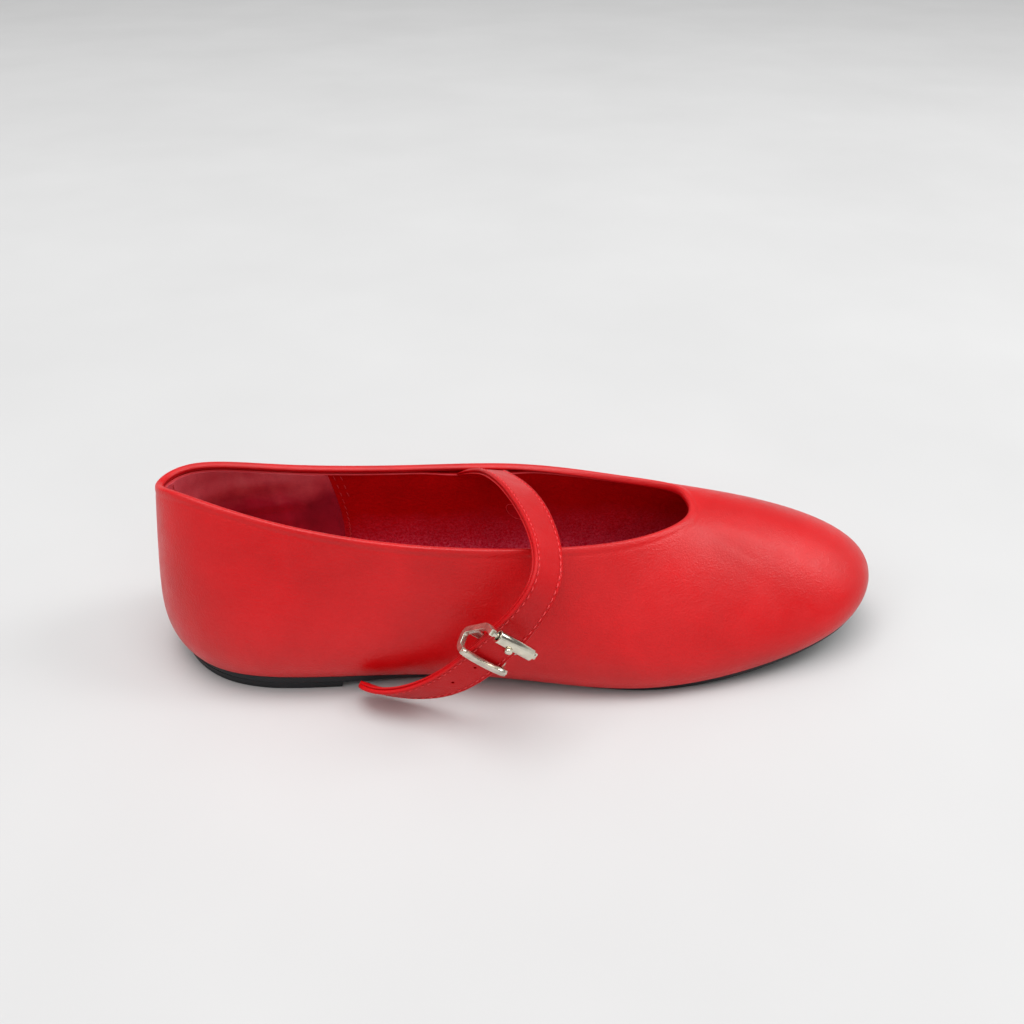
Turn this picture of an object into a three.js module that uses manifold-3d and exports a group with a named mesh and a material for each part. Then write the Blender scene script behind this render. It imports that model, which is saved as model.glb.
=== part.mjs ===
// Mary jane shoe, right foot: a flat leather upper with one buckled strap.
// Millimetres, +Z up, +X to the toe, +Y to the inner side of the foot.
// The origin is on the ground, under the middle of the heel.

import * as THREE from "three";
import { mergeVertices } from "three/addons/utils/BufferGeometryUtils.js";
import Module from "manifold-3d";

const wasm = await Module();
wasm.setup();

// Driving dimensions.
const LENGTH = 250; // outside, back of the heel to the toe
const BALL_WIDTH = 80; // across the ball, at the feather line
const BACK_HEIGHT = 60; // topline above the ground, at the back of the heel
const HEEL_CENTRE = 30; // middle of the heel, ahead of its back
const WALL = 2; // leather and lining together
const GAP = 0.3; // between pieces that touch

// Feather line: the height where upper and sole meet.
const HEEL_SEAT_HEIGHT = 6.2;
const BALL_SEAT_HEIGHT = 2.6;
const TOE_SPRING = 13;
const SHANK_START = 0.2 * LENGTH;
const SHANK_END = 0.6 * LENGTH;
const SPRING_START = 0.7 * LENGTH;

// Sole, heel and insole.
const OUTSOLE_THICKNESS = 2.9;
const OUTSOLE_SET_IN = 0.5;
const OUTSOLE_BEVEL = 0.6;
const HEEL_BREAST = 61; // front of the heel lift, from the back of the heel
const HEEL_BEVEL = 1.2;
const INSOLE_THICKNESS = 2.5;

// Strap.
const STRAP_WIDTH = 12;
const STRAP_THICKNESS = 2;
const STRAP_EDGE = 0.6; // chamfer of the turned edges
const STRAP_TIP_LENGTH = 11;
const STRAP_TIP_WIDTH = 3;
const BUCKLE_AT = 0.672; // share of the strap, from its sewn end
const BUCKLE_TILT = -5; // degrees, about its bars, as it hangs
const BUCKLE_ASIDE = 0.8; // the strap lies off its middle
const STRAP_HOLE_RADIUS = 0.8;
const STRAP_HOLES = [0.746, 0.806]; // shares of the strap
const PRONG_HOLE_RADIUS = 1.45;
const PRONG_HOLE_BACK = 0.9; // from the middle of the buckle towards the sewn end

// Buckle, in its own frame: x across the strap, y to the strap's tip, z outwards.
const RAIL_INSIDE = 7.2;
const RAIL_THICKNESS = 1.7;
const RAIL_WIDTH = 2;
const RAIL_LINE = [[-6.2, 5], [-4.2, 0.7], [7, -5.6], [9.8, -1.2], [8.1, 2.1]]; // y, z
const CENTRE_BAR = { y: 5.4, z: -4.9, radius: 1.1 };
const ROLLER = { x: -0.4, y: -6.2, z: 5, radius: 2.1, bore: 1.4, axle: 0.8, length: 13 };
const END_BAR = { y: 8.1, z: 2.1, width: 2.6, thickness: 1.6 };
// y, z
const PRONG_LINE = [[4.2, -4.7], [1.8, -4.3], [-0.2, -2.8], [-1.2, 0], [-2.3, 2.6], [-3, 4.8]];
const PRONG_RADIUS = 0.75;
const PRONG_EYE_WIDTH = 1.9;
const PRONG_SLOT_LENGTH = 12; // in the buckle strap, middle on the centre bar
const EYE_WALL = 1;

// Net density.
const STEPS_PER_STATION = 6;
const WALL_STEPS = 12;
const SOLE_STEPS_ALONG = 40;
const SOLE_STEPS_ACROSS = 6;
const STRAP_STEPS = 60;
const HOLE_FACETS = 10;
const BAR_FACETS = 14;
const EYE_FACETS = 20;
const NORMAL_STEP = 1e-3; // for directions, as a share of a curve

// A section of the shoe: its feather point, the bulge of its wall and its topline point.
// along and topAlong are shares of LENGTH, across and topAcross shares of BALL_WIDTH,
// topHeight a share of BACK_HEIGHT; swell, wall and crown are millimetres.
function station([along, across], [swell, wall, crown], [topAlong, topAcross, topHeight]) {
  return { along, across, swell, wall, crown, topAlong, topAcross, topHeight };
}

// Heel, outer side, toe, inner side.
const STATIONS = [
  station([-0.016, 0.0], [4.5, 20, 1], [0.0, 0.0, 0.99]),
  station([0.072, -0.415], [4, 18.5, 1], [0.046, -0.175, 1.115]),
  station([0.202, -0.455], [4.5, 16, 0.5], [0.172, -0.29, 0.975]),
  station([0.372, -0.405], [6, 15, 0], [0.34, -0.365, 0.875]),
  station([0.506, -0.445], [5, 14.5, 0], [0.5, -0.34, 0.82]),
  station([0.654, -0.55], [2.5, 11.5, 1.5], [0.632, -0.265, 0.785]),
  station([0.816, -0.44], [2.5, 10.5, 2.5], [0.716, -0.125, 0.79]),
  station([0.962, -0.28], [2, 10.5, 3.5], [0.738, -0.01, 0.805]),
  station([1.012, 0.065], [2.5, 14, 3.5], [0.73, 0.085, 0.825]),
  station([0.962, 0.335], [3.5, 13.5, 3], [0.724, 0.185, 0.815]),
  station([0.822, 0.445], [3.5, 12.5, 3], [0.642, 0.3, 0.79]),
  station([0.622, 0.47], [3, 12, 1.5], [0.502, 0.395, 0.83]),
  station([0.384, 0.365], [5, 15, 0], [0.34, 0.34, 0.845]),
  station([0.204, 0.325], [5, 16, 0.5], [0.166, 0.285, 0.9]),
  station([0.072, 0.36], [4, 18.5, 0.5], [0.04, 0.19, 1.05]),
];
const CROWN_SHARE = 0.55; // of the way from the shoulder to the topline
const LEVEL_RISE = 0.2; // share of the wall's height over which its thickness turns level
const RIM_STEP = 0.02; // of that height, for the direction up to the rim
const TOE_STATION = 8;
const STATION_COUNT = STATIONS.length;
const TOE_TIP = TOE_STATION / STATION_COUNT;

// Middle of the strap's outer face, from its sewn end to its tip, measured from the back of
// the heel, and the direction across it towards the heel.
const STRAP_ROUTE = [
  { x: 112, y: 28, z: 49, acrossX: -0.95, acrossY: -0.3, acrossZ: 0.1 },
  { x: 114.5, y: 21.5, z: 52.5, acrossX: -0.95, acrossY: -0.25, acrossZ: 0.25 },
  { x: 120, y: 7.5, z: 58.5, acrossX: -0.85, acrossY: -0.2, acrossZ: 0.4 },
  { x: 128, y: -14, z: 61, acrossX: -0.95, acrossY: -0.3, acrossZ: 0.3 },
  { x: 134, y: -41, z: 57.5, acrossX: -0.75, acrossY: -0.15, acrossZ: 0.65 },
  { x: 129.5, y: -55, z: 48.5, acrossX: -0.6, acrossY: -0.45, acrossZ: 0.75 },
  { x: 112, y: -54.5, z: 27.5, acrossX: -0.9, acrossY: 0.15, acrossZ: 0.55 },
  { x: 96.5, y: -49.5, z: 9, acrossX: -0.55, acrossY: -0.3, acrossZ: 0.9 },
  { x: 78, y: -46, z: 5.5, acrossX: -0.2, acrossY: -0.8, acrossZ: 0.65 },
  { x: 71, y: -41.5, z: 6.5, acrossX: -0.3, acrossY: -0.65, acrossZ: 0.7 },
];

// The short buckle strap, from inside the outer collar, over the rim and out to the buckle.
const BUCKLE_STRAP_START = [
  { x: 132.2, y: -24.4, z: 43, acrossX: -1, acrossY: 0.05, acrossZ: 0.1 },
  { x: 132.2, y: -21.3, z: 49, acrossX: -1, acrossY: 0.05, acrossZ: 0.1 },
  { x: 132.2, y: -24.6, z: 53.8, acrossX: -1, acrossY: 0, acrossZ: 0.15 },
  { x: 132.8, y: -33.5, z: 53, acrossX: -0.95, acrossY: -0.05, acrossZ: 0.25 },
  { x: 131.8, y: -43, z: 51, acrossX: -0.8, acrossY: -0.15, acrossZ: 0.5 },
  { x: 128.6, y: -48, z: 44.6, acrossX: -0.75, acrossY: -0.2, acrossZ: 0.6 },
];
const BUCKLE_STRAP_RUN_IN = 10; // straight stretch up to the centre bar, under the strap
const BUCKLE_STRAP_WIDTH = 8.6;
const BUCKLE_STRAP_ASIDE = -1; // from the middle of the buckle, across it
const BUCKLE_STRAP_THICKNESS = 1.6;
const SLOT_DEPTH = 8;

// ---- curves ----

function closedSpline(values, turn) {
  const count = values.length;
  const place = turn * count;
  const start = Math.floor(place);
  const t = place - start;
  const weights = [
    (1 - t) ** 3 / 6,
    (3 * t ** 3 - 6 * t ** 2 + 4) / 6,
    (-3 * t ** 3 + 3 * t ** 2 + 3 * t + 1) / 6,
    t ** 3 / 6,
  ];
  const result = new THREE.Vector3();
  weights.forEach((weight, offset) => {
    const index = (((start + offset - 1) % count) + count) % count;
    result.addScaledVector(values[index], weight);
  });
  return result;
}

function clampedSpline(values, share) {
  const degree = 3;
  const spans = values.length - degree;
  const knot = (i) => THREE.MathUtils.clamp((i - degree) / spans, 0, 1);
  const span = degree + Math.min(Math.floor(share * spans), spans - 1);
  const points = [];
  for (let i = 0; i <= degree; i += 1) points.push(values[span - degree + i].clone());
  for (let level = 1; level <= degree; level += 1) {
    for (let i = degree; i >= level; i -= 1) {
      const low = knot(span - degree + i);
      const high = knot(span + 1 + i - level);
      points[i].lerpVectors(points[i - 1], points[i].clone(), (share - low) / (high - low));
    }
  }
  return points[degree];
}

// ---- solids ----

function solidFrom(points, triangles) {
  const geometry = new THREE.BufferGeometry();
  const flat = points.flatMap((point) => point.toArray());
  geometry.setAttribute("position", new THREE.Float32BufferAttribute(flat, 3));
  geometry.setIndex(triangles.flat());
  return solidOf(geometry);
}

function solidOf(geometry) {
  const bare = geometry.clone();
  bare.deleteAttribute("normal");
  bare.deleteAttribute("uv");
  const merged = mergeVertices(bare, 1e-4);
  return new wasm.Manifold(new wasm.Mesh({
    numProp: 3,
    vertProperties: Float32Array.from(merged.attributes.position.array),
    triVerts: Uint32Array.from(merged.index.array),
  }));
}

function geometryOf(solid) {
  const mesh = solid.getMesh();
  const geometry = new THREE.BufferGeometry();
  geometry.setAttribute("position", new THREE.BufferAttribute(mesh.vertProperties, 3));
  geometry.setIndex(new THREE.BufferAttribute(mesh.triVerts, 1));
  geometry.computeVertexNormals();
  return geometry;
}

function quad(a, b, c, d) {
  return [[a, b, c], [a, c, d]];
}

// A closed loop of closed rings: a tube that bites its own tail.
function ringLoopSolid(rings) {
  const points = rings.flat();
  const around = rings[0].length;
  const triangles = [];
  for (let r = 0; r < rings.length; r += 1) {
    const here = r * around;
    const next = ((r + 1) % rings.length) * around;
    for (let i = 0; i < around; i += 1) {
      const j = (i + 1) % around;
      triangles.push(...quad(here + i, here + j, next + j, next + i));
    }
  }
  return solidFrom(points, triangles);
}

// Sections in a row, each a closed outline, with flat ends.
function sweptSolid(sections) {
  const points = sections.flat();
  const around = sections[0].length;
  const triangles = [];
  for (let s = 0; s < sections.length - 1; s += 1) {
    for (let i = 0; i < around; i += 1) {
      const j = (i + 1) % around;
      const here = s * around;
      triangles.push(...quad(here + i, here + j, here + around + j, here + around + i));
    }
  }
  const last = (sections.length - 1) * around;
  for (let i = 1; i < around - 1; i += 1) {
    triangles.push([0, i + 1, i]);
    triangles.push([last, last + i, last + i + 1]);
  }
  return solidFrom(points, triangles);
}

// ---- the last ----

function featherHeight(along) {
  const shank = THREE.MathUtils.smoothstep(along, SHANK_START, SHANK_END);
  const spring = Math.max(0, (along - SPRING_START) / (LENGTH - SPRING_START));
  return HEEL_SEAT_HEIGHT + (BALL_SEAT_HEIGHT - HEEL_SEAT_HEIGHT) * shank + TOE_SPRING * spring ** 2;
}

const featherNet = STATIONS.map((s) => new THREE.Vector3(
  s.along * LENGTH,
  s.across * BALL_WIDTH,
  featherHeight(s.along * LENGTH),
));

const outwardNet = STATIONS.map((_, i) => {
  const before = featherNet[(i + STATION_COUNT - 1) % STATION_COUNT];
  const after = featherNet[(i + 1) % STATION_COUNT];
  return new THREE.Vector3(after.y - before.y, before.x - after.x, 0).normalize();
});

// Five control rings, from the feather line up the wall and over to the topline.
function controlRings() {
  const wallRing = (share) => STATIONS.map((s, i) => {
    const point = featherNet[i].clone().addScaledVector(outwardNet[i], s.swell);
    return point.setZ(point.z + s.wall * share);
  });
  const shoulder = wallRing(1);
  const topline = STATIONS.map((s) => new THREE.Vector3(
    s.topAlong * LENGTH,
    s.topAcross * BALL_WIDTH,
    s.topHeight * BACK_HEIGHT,
  ));
  const crown = STATIONS.map((s, i) => {
    const point = shoulder[i].clone().lerp(topline[i], CROWN_SHARE);
    return point.setZ(point.z + s.crown);
  });
  return [featherNet, wallRing(1 / 3), shoulder, crown, topline];
}

const RINGS = controlRings();

function lastPoint(turn, rise) {
  const column = RINGS.map((ring) => closedSpline(ring, turn));
  return clampedSpline(column, rise);
}

function planNormal(turn) {
  const ahead = closedSpline(featherNet, turn + NORMAL_STEP);
  const along = ahead.sub(closedSpline(featherNet, turn - NORMAL_STEP));
  return new THREE.Vector3(along.y, -along.x, 0).normalize();
}

function lastNormal(turn, rise) {
  const low = Math.max(0, rise - NORMAL_STEP);
  const high = Math.min(1, rise + NORMAL_STEP);
  const around = lastPoint(turn + NORMAL_STEP, rise).sub(lastPoint(turn - NORMAL_STEP, rise));
  const up = lastPoint(turn, high).sub(lastPoint(turn, low));
  return around.cross(up).normalize();
}

// A ring of the upper: sunk below the last's outer surface by depth. Near the feather line
// the depth is taken level, so the bottom edge stays flat on the sole.
function upperRing(rise, depth) {
  const count = STATION_COUNT * STEPS_PER_STATION;
  const level = 1 - THREE.MathUtils.smoothstep(rise, 0, LEVEL_RISE);
  return Array.from({ length: count }, (_, i) => {
    const turn = i / count;
    const direction = lastNormal(turn, rise).lerp(planNormal(turn), level).normalize();
    return lastPoint(turn, rise).addScaledVector(direction, -depth);
  });
}

// The rim: half a round between the outer and the inner face.
function rimRing(bend, grow) {
  const count = STATION_COUNT * STEPS_PER_STATION;
  const radius = WALL / 2 + grow;
  const lift = radius * Math.sin(bend);
  return upperRing(1, WALL / 2 - radius * Math.cos(bend)).map((point, i) => {
    const turn = i / count;
    const up = lastPoint(turn, 1).sub(lastPoint(turn, 1 - RIM_STEP)).normalize();
    return point.addScaledVector(up, lift);
  });
}

// The hollow upper. grow swells it on every face, to cut its neighbours clear of it.
function upperSolid(grow) {
  const rings = [];
  for (let i = 0; i <= WALL_STEPS; i += 1) rings.push(upperRing(i / WALL_STEPS, -grow));
  for (const bend of [0.25, 0.5, 0.75]) rings.push(rimRing(bend * Math.PI, grow));
  for (let i = WALL_STEPS; i >= 0; i -= 1) rings.push(upperRing(i / WALL_STEPS, WALL + grow));
  return ringLoopSolid(rings);
}

// ---- sole ----

function outlinePoint(turn, setIn) {
  return closedSpline(featherNet, turn).addScaledVector(planNormal(turn), -setIn);
}

// A plate under the last, from cross lines that pair an outer with an inner point.
// top and bottom give its heights from that of the feather line.
function plateSolid({ topSetIn, bottomSetIn, top, bottom }) {
  const line = (k, setIn, height) => {
    const outer = outlinePoint((k / SOLE_STEPS_ALONG) * TOE_TIP, setIn);
    const inner = outlinePoint(1 - (k / SOLE_STEPS_ALONG) * (1 - TOE_TIP), setIn);
    const isEnd = k === 0 || k === SOLE_STEPS_ALONG;
    const steps = isEnd ? 0 : SOLE_STEPS_ACROSS;
    return Array.from({ length: steps + 1 }, (_, i) => {
      const point = outer.clone().lerp(inner, steps === 0 ? 0 : i / steps);
      return point.setZ(height(point.z));
    });
  };
  const points = [];
  const lineStarts = [];
  for (const [setIn, height] of [[topSetIn, top], [bottomSetIn, bottom]]) {
    for (let k = 0; k <= SOLE_STEPS_ALONG; k += 1) {
      lineStarts.push(points.length);
      points.push(...line(k, setIn, height));
    }
  }
  const lines = SOLE_STEPS_ALONG + 1;
  const at = (face, k, i) => lineStarts[face * lines + k] + (k === 0 || k === SOLE_STEPS_ALONG ? 0 : i);
  const triangles = [];
  for (let k = 0; k < SOLE_STEPS_ALONG; k += 1) {
    for (let i = 0; i < SOLE_STEPS_ACROSS; i += 1) {
      triangles.push(...quad(at(0, k, i), at(0, k + 1, i), at(0, k + 1, i + 1), at(0, k, i + 1)));
      triangles.push(...quad(at(1, k, i), at(1, k, i + 1), at(1, k + 1, i + 1), at(1, k + 1, i)));
    }
    const far = SOLE_STEPS_ACROSS;
    triangles.push(...quad(at(1, k, 0), at(1, k + 1, 0), at(0, k + 1, 0), at(0, k, 0)));
    triangles.push(...quad(at(0, k, far), at(0, k + 1, far), at(1, k + 1, far), at(1, k, far)));
  }
  const real = triangles.filter(([a, b, c]) => a !== b && b !== c && c !== a);
  return solidFrom(points, real);
}

function outsoleSolid() {
  return plateSolid({
    topSetIn: OUTSOLE_SET_IN,
    bottomSetIn: OUTSOLE_SET_IN + OUTSOLE_BEVEL,
    top: (seat) => seat - GAP,
    bottom: (seat) => Math.max(0, seat - GAP - OUTSOLE_THICKNESS),
  });
}

function insoleSolid() {
  return plateSolid({
    topSetIn: WALL + GAP,
    bottomSetIn: WALL + GAP,
    top: (seat) => seat + INSOLE_THICKNESS,
    bottom: (seat) => seat,
  });
}

function heelLiftSolid() {
  const plate = plateSolid({
    topSetIn: OUTSOLE_SET_IN + OUTSOLE_BEVEL,
    bottomSetIn: OUTSOLE_SET_IN + OUTSOLE_BEVEL + HEEL_BEVEL,
    top: (seat) => seat - 2 * GAP - OUTSOLE_THICKNESS,
    bottom: () => 0,
  });
  const front = new THREE.BoxGeometry(LENGTH, 2 * BALL_WIDTH, BACK_HEIGHT);
  front.translate(HEEL_BREAST + LENGTH / 2, 0, 0);
  return plate.intersect(plate.subtract(solidOf(front)));
}

// ---- straps ----

function routeFrame(route, share) {
  const centres = route.map((r) => new THREE.Vector3(r.x, r.y, r.z));
  const acrosses = route.map((r) => new THREE.Vector3(r.acrossX, r.acrossY, r.acrossZ));
  const centre = clampedSpline(centres, share);
  const ahead = clampedSpline(centres, Math.min(1, share + NORMAL_STEP));
  const behind = clampedSpline(centres, Math.max(0, share - NORMAL_STEP));
  const along = ahead.sub(behind).normalize();
  const across = clampedSpline(acrosses, share);
  across.addScaledVector(along, -across.dot(along)).normalize();
  const outward = across.clone().cross(along);
  return { centre, along, across, outward };
}

function strapSection(frame, width, thickness) {
  const half = width / 2;
  const corner = [
    [half - STRAP_EDGE, 0],
    [half, -STRAP_EDGE],
    [half, STRAP_EDGE - thickness],
    [half - STRAP_EDGE, -thickness],
  ];
  const other = corner.map(([side, depth]) => [-side, depth]).reverse();
  return [...corner, ...other].map(([side, depth]) => frame.centre.clone()
    .addScaledVector(frame.across, side)
    .addScaledVector(frame.outward, depth));
}

function frameMatrix(frame) {
  return new THREE.Matrix4()
    .makeBasis(frame.across, frame.along, frame.outward)
    .setPosition(frame.centre);
}

function strapWidthAt(share, length) {
  const left = (1 - share) * length;
  const rounding = Math.sqrt(Math.max(0, 1 - (1 - Math.min(1, left / STRAP_TIP_LENGTH)) ** 2));
  return STRAP_TIP_WIDTH + (STRAP_WIDTH - STRAP_TIP_WIDTH) * rounding;
}

function holeCutter(frame, radius, offset) {
  const depth = 3 * STRAP_THICKNESS;
  const cutter = new THREE.CylinderGeometry(radius, radius, depth, HOLE_FACETS);
  cutter.rotateX(Math.PI / 2);
  cutter.translate(0, offset, -STRAP_THICKNESS / 2);
  cutter.applyMatrix4(frameMatrix(frame));
  return solidOf(cutter);
}

function hungFrame(frame) {
  const centre = frame.centre.clone().addScaledVector(frame.across, BUCKLE_ASIDE);
  const tilt = (direction) => direction.clone()
    .applyAxisAngle(frame.across, THREE.MathUtils.degToRad(BUCKLE_TILT));
  return { centre, across: frame.across, along: tilt(frame.along), outward: tilt(frame.outward) };
}

const buckleFrame = hungFrame(routeFrame(STRAP_ROUTE, BUCKLE_AT));

function strapSolid() {
  const shares = Array.from({ length: STRAP_STEPS + 1 }, (_, i) => i / STRAP_STEPS);
  const frames = shares.map((share) => routeFrame(STRAP_ROUTE, share));
  const centres = frames.map((frame) => frame.centre);
  const length = centres.slice(1).reduce((sum, point, i) => sum + point.distanceTo(centres[i]), 0);
  const sections = frames.map((frame, i) => (
    strapSection(frame, strapWidthAt(shares[i], length), STRAP_THICKNESS)
  ));
  let strap = sweptSolid(sections).subtract(upperSolid(GAP));
  for (const share of STRAP_HOLES) {
    strap = strap.subtract(holeCutter(routeFrame(STRAP_ROUTE, share), STRAP_HOLE_RADIUS, 0));
  }
  return strap.subtract(holeCutter(buckleFrame, PRONG_HOLE_RADIUS, -PRONG_HOLE_BACK));
}

// A ring round the centre bar, in the buckle's frame.
function eyeRing(width, wall) {
  const inner = CENTRE_BAR.radius + GAP;
  const outer = inner + wall;
  const half = width / 2;
  const profile = [[inner, -half], [outer, -half], [outer, half], [inner, half], [inner, -half]];
  const ring = new THREE.LatheGeometry(profile.map(([r, h]) => new THREE.Vector2(r, h)), EYE_FACETS);
  ring.rotateZ(Math.PI / 2);
  ring.translate(0, CENTRE_BAR.y, CENTRE_BAR.z);
  return ring;
}

function buckleStrapSolid() {
  const toWorld = frameMatrix(buckleFrame);
  const { across } = buckleFrame;
  const face = CENTRE_BAR.z + BUCKLE_STRAP_THICKNESS / 2;
  const runIn = [BUCKLE_STRAP_RUN_IN, BUCKLE_STRAP_RUN_IN / 2, CENTRE_BAR.radius + GAP].map((back) => {
    const { x, y, z } = new THREE.Vector3(BUCKLE_STRAP_ASIDE, CENTRE_BAR.y - back, face)
      .applyMatrix4(toWorld);
    return { x, y, z, acrossX: across.x, acrossY: across.y, acrossZ: across.z };
  });
  const route = [...BUCKLE_STRAP_START, ...runIn];
  const steps = STRAP_STEPS / 2;
  const sections = Array.from({ length: steps + 1 }, (_, i) => (
    strapSection(routeFrame(route, i / steps), BUCKLE_STRAP_WIDTH, BUCKLE_STRAP_THICKNESS)
  ));
  const slot = new THREE.BoxGeometry(PRONG_EYE_WIDTH + 2 * GAP, PRONG_SLOT_LENGTH, SLOT_DEPTH);
  slot.translate(0, CENTRE_BAR.y, CENTRE_BAR.z);
  const pinRoom = barAcross(CENTRE_BAR.radius + GAP, 2 * BUCKLE_STRAP_WIDTH, CENTRE_BAR);
  const eye = eyeRing(BUCKLE_STRAP_WIDTH, EYE_WALL).translate(BUCKLE_STRAP_ASIDE, 0, 0);
  return sweptSolid(sections)
    .add(solidOf(eye.applyMatrix4(toWorld)))
    .subtract(solidOf(pinRoom.applyMatrix4(toWorld)))
    .subtract(solidOf(slot.applyMatrix4(toWorld)))
    .subtract(upperSolid(GAP));
}

// ---- buckle ----

function barAcross(radius, length, { x = 0, y, z }) {
  const bar = new THREE.CylinderGeometry(radius, radius, length, BAR_FACETS);
  bar.rotateZ(Math.PI / 2);
  bar.translate(x, y, z);
  return bar;
}

// A flat rail bent along a line. side is 1 towards the heel and -1 towards the toe.
function railSolid(side) {
  const line = RAIL_LINE.map(([y, z]) => new THREE.Vector2(y, z));
  const half = RAIL_WIDTH / 2;
  const edge = (sign) => line.map((point, i) => {
    const before = point.clone().sub(line[Math.max(0, i - 1)]);
    const after = line[Math.min(line.length - 1, i + 1)].clone().sub(point);
    if (i === 0) before.copy(after);
    if (i === line.length - 1) after.copy(before);
    const normals = [before, after].map((d) => new THREE.Vector2(-d.y, d.x).normalize());
    const mitre = normals[0].clone().add(normals[1]).normalize();
    const reach = Math.min(1.5, 1 / mitre.dot(normals[0]));
    return point.clone().addScaledVector(mitre, sign * half * reach);
  });
  const outline = new THREE.Shape([...edge(1), ...edge(-1).reverse()]);
  const rail = new THREE.ExtrudeGeometry(outline, { depth: RAIL_THICKNESS, bevelEnabled: false });
  rail.applyMatrix4(new THREE.Matrix4().set(0, 0, 1, 0, 1, 0, 0, 0, 0, 1, 0, 0, 0, 0, 0, 1));
  rail.translate(side > 0 ? RAIL_INSIDE : -RAIL_INSIDE - RAIL_THICKNESS, 0, 0);
  return solidOf(rail);
}

function buckleFrameSolid() {
  const reach = 2 * (RAIL_INSIDE + RAIL_THICKNESS / 2);
  const endBar = new THREE.BoxGeometry(reach, END_BAR.width, END_BAR.thickness);
  endBar.translate(0, END_BAR.y, END_BAR.z);
  return railSolid(1)
    .add(railSolid(-1))
    .add(solidOf(endBar))
    .add(solidOf(barAcross(CENTRE_BAR.radius, reach, CENTRE_BAR)))
    .add(solidOf(barAcross(ROLLER.axle, reach, { y: ROLLER.y, z: ROLLER.z })));
}

function rollerSolid() {
  const tube = solidOf(barAcross(ROLLER.radius, ROLLER.length, ROLLER));
  return tube.subtract(solidOf(barAcross(ROLLER.bore, 2 * ROLLER.length, ROLLER)));
}

function prongSolid() {
  const line = PRONG_LINE.map(([y, z]) => new THREE.Vector3(0, y, z));
  const curve = new THREE.CatmullRomCurve3(line, false, "centripetal");
  const round = new THREE.Shape().absarc(0, 0, PRONG_RADIUS, 0, 2 * Math.PI);
  const rod = new THREE.ExtrudeGeometry(round, { steps: 14, curveSegments: 8, extrudePath: curve });
  const eye = eyeRing(PRONG_EYE_WIDTH, EYE_WALL);
  const bore = barAcross(CENTRE_BAR.radius + GAP, 2 * RAIL_INSIDE, CENTRE_BAR);
  return solidOf(rod).add(solidOf(eye)).subtract(solidOf(bore));
}

// ---- the shoe ----

const MATERIALS = {
  leather: new THREE.MeshStandardMaterial({ color: 0xc8242a, roughness: 0.45, metalness: 0 }),
  lining: new THREE.MeshStandardMaterial({ color: 0x7a1a2c, roughness: 0.8, metalness: 0 }),
  rubber: new THREE.MeshStandardMaterial({ color: 0x16171a, roughness: 0.7, metalness: 0 }),
  nickel: new THREE.MeshStandardMaterial({ color: 0xc9c6bf, roughness: 0.2, metalness: 1 }),
};

function part(name, solid, material) {
  const mesh = new THREE.Mesh(geometryOf(solid), material);
  mesh.name = name;
  return mesh;
}

const shoe = new THREE.Group();
shoe.position.x = -HEEL_CENTRE;
shoe.add(part("upper", upperSolid(0), MATERIALS.leather));
shoe.add(part("insole", insoleSolid(), MATERIALS.lining));
shoe.add(part("outsole", outsoleSolid(), MATERIALS.rubber));
shoe.add(part("heel_lift", heelLiftSolid(), MATERIALS.rubber));
shoe.add(part("strap", strapSolid(), MATERIALS.leather));
shoe.add(part("buckle_strap", buckleStrapSolid(), MATERIALS.leather));

const buckle = new THREE.Group();
frameMatrix(buckleFrame).decompose(buckle.position, buckle.quaternion, buckle.scale);
buckle.add(part("buckle_frame", buckleFrameSolid(), MATERIALS.nickel));
buckle.add(part("buckle_roller", rollerSolid(), MATERIALS.nickel));
buckle.add(part("buckle_prong", prongSolid(), MATERIALS.nickel));
shoe.add(buckle);

const group = new THREE.Group();
group.add(shoe);

export default group;
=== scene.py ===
"""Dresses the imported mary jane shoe: leather, lining, sole, stitched strap and nickel buckle.

Metres, +Z up, +X to the toe, +Y to the inner side of the foot. The origin is on the ground
under the middle of the heel. The shoe's own sizes are in millimetres from the back of the heel.
"""
import logging
import math
from contextlib import contextmanager
from dataclasses import dataclass, field
from enum import Enum
from typing import Callable, Iterator, Sequence

import bpy
import numpy as np
from mathutils import Matrix, Vector


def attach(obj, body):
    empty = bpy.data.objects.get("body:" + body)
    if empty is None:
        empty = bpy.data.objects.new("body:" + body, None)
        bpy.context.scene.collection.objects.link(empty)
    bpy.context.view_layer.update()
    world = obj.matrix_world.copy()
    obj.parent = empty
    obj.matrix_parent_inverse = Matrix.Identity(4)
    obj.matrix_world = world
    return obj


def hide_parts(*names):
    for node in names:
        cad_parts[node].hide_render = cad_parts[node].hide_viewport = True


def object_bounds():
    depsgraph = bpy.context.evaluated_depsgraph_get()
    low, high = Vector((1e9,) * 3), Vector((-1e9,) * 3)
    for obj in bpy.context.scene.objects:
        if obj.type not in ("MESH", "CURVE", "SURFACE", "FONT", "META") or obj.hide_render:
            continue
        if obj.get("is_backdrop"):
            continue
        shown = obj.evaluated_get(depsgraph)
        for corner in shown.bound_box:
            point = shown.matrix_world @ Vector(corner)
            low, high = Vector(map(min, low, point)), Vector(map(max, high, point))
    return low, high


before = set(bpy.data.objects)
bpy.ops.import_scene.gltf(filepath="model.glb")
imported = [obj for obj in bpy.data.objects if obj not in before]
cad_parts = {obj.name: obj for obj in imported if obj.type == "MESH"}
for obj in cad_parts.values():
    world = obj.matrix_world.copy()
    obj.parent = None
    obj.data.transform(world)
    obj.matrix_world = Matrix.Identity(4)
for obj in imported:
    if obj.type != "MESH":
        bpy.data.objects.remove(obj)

LOG = logging.getLogger("shoe")
CAD_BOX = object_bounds()

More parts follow.
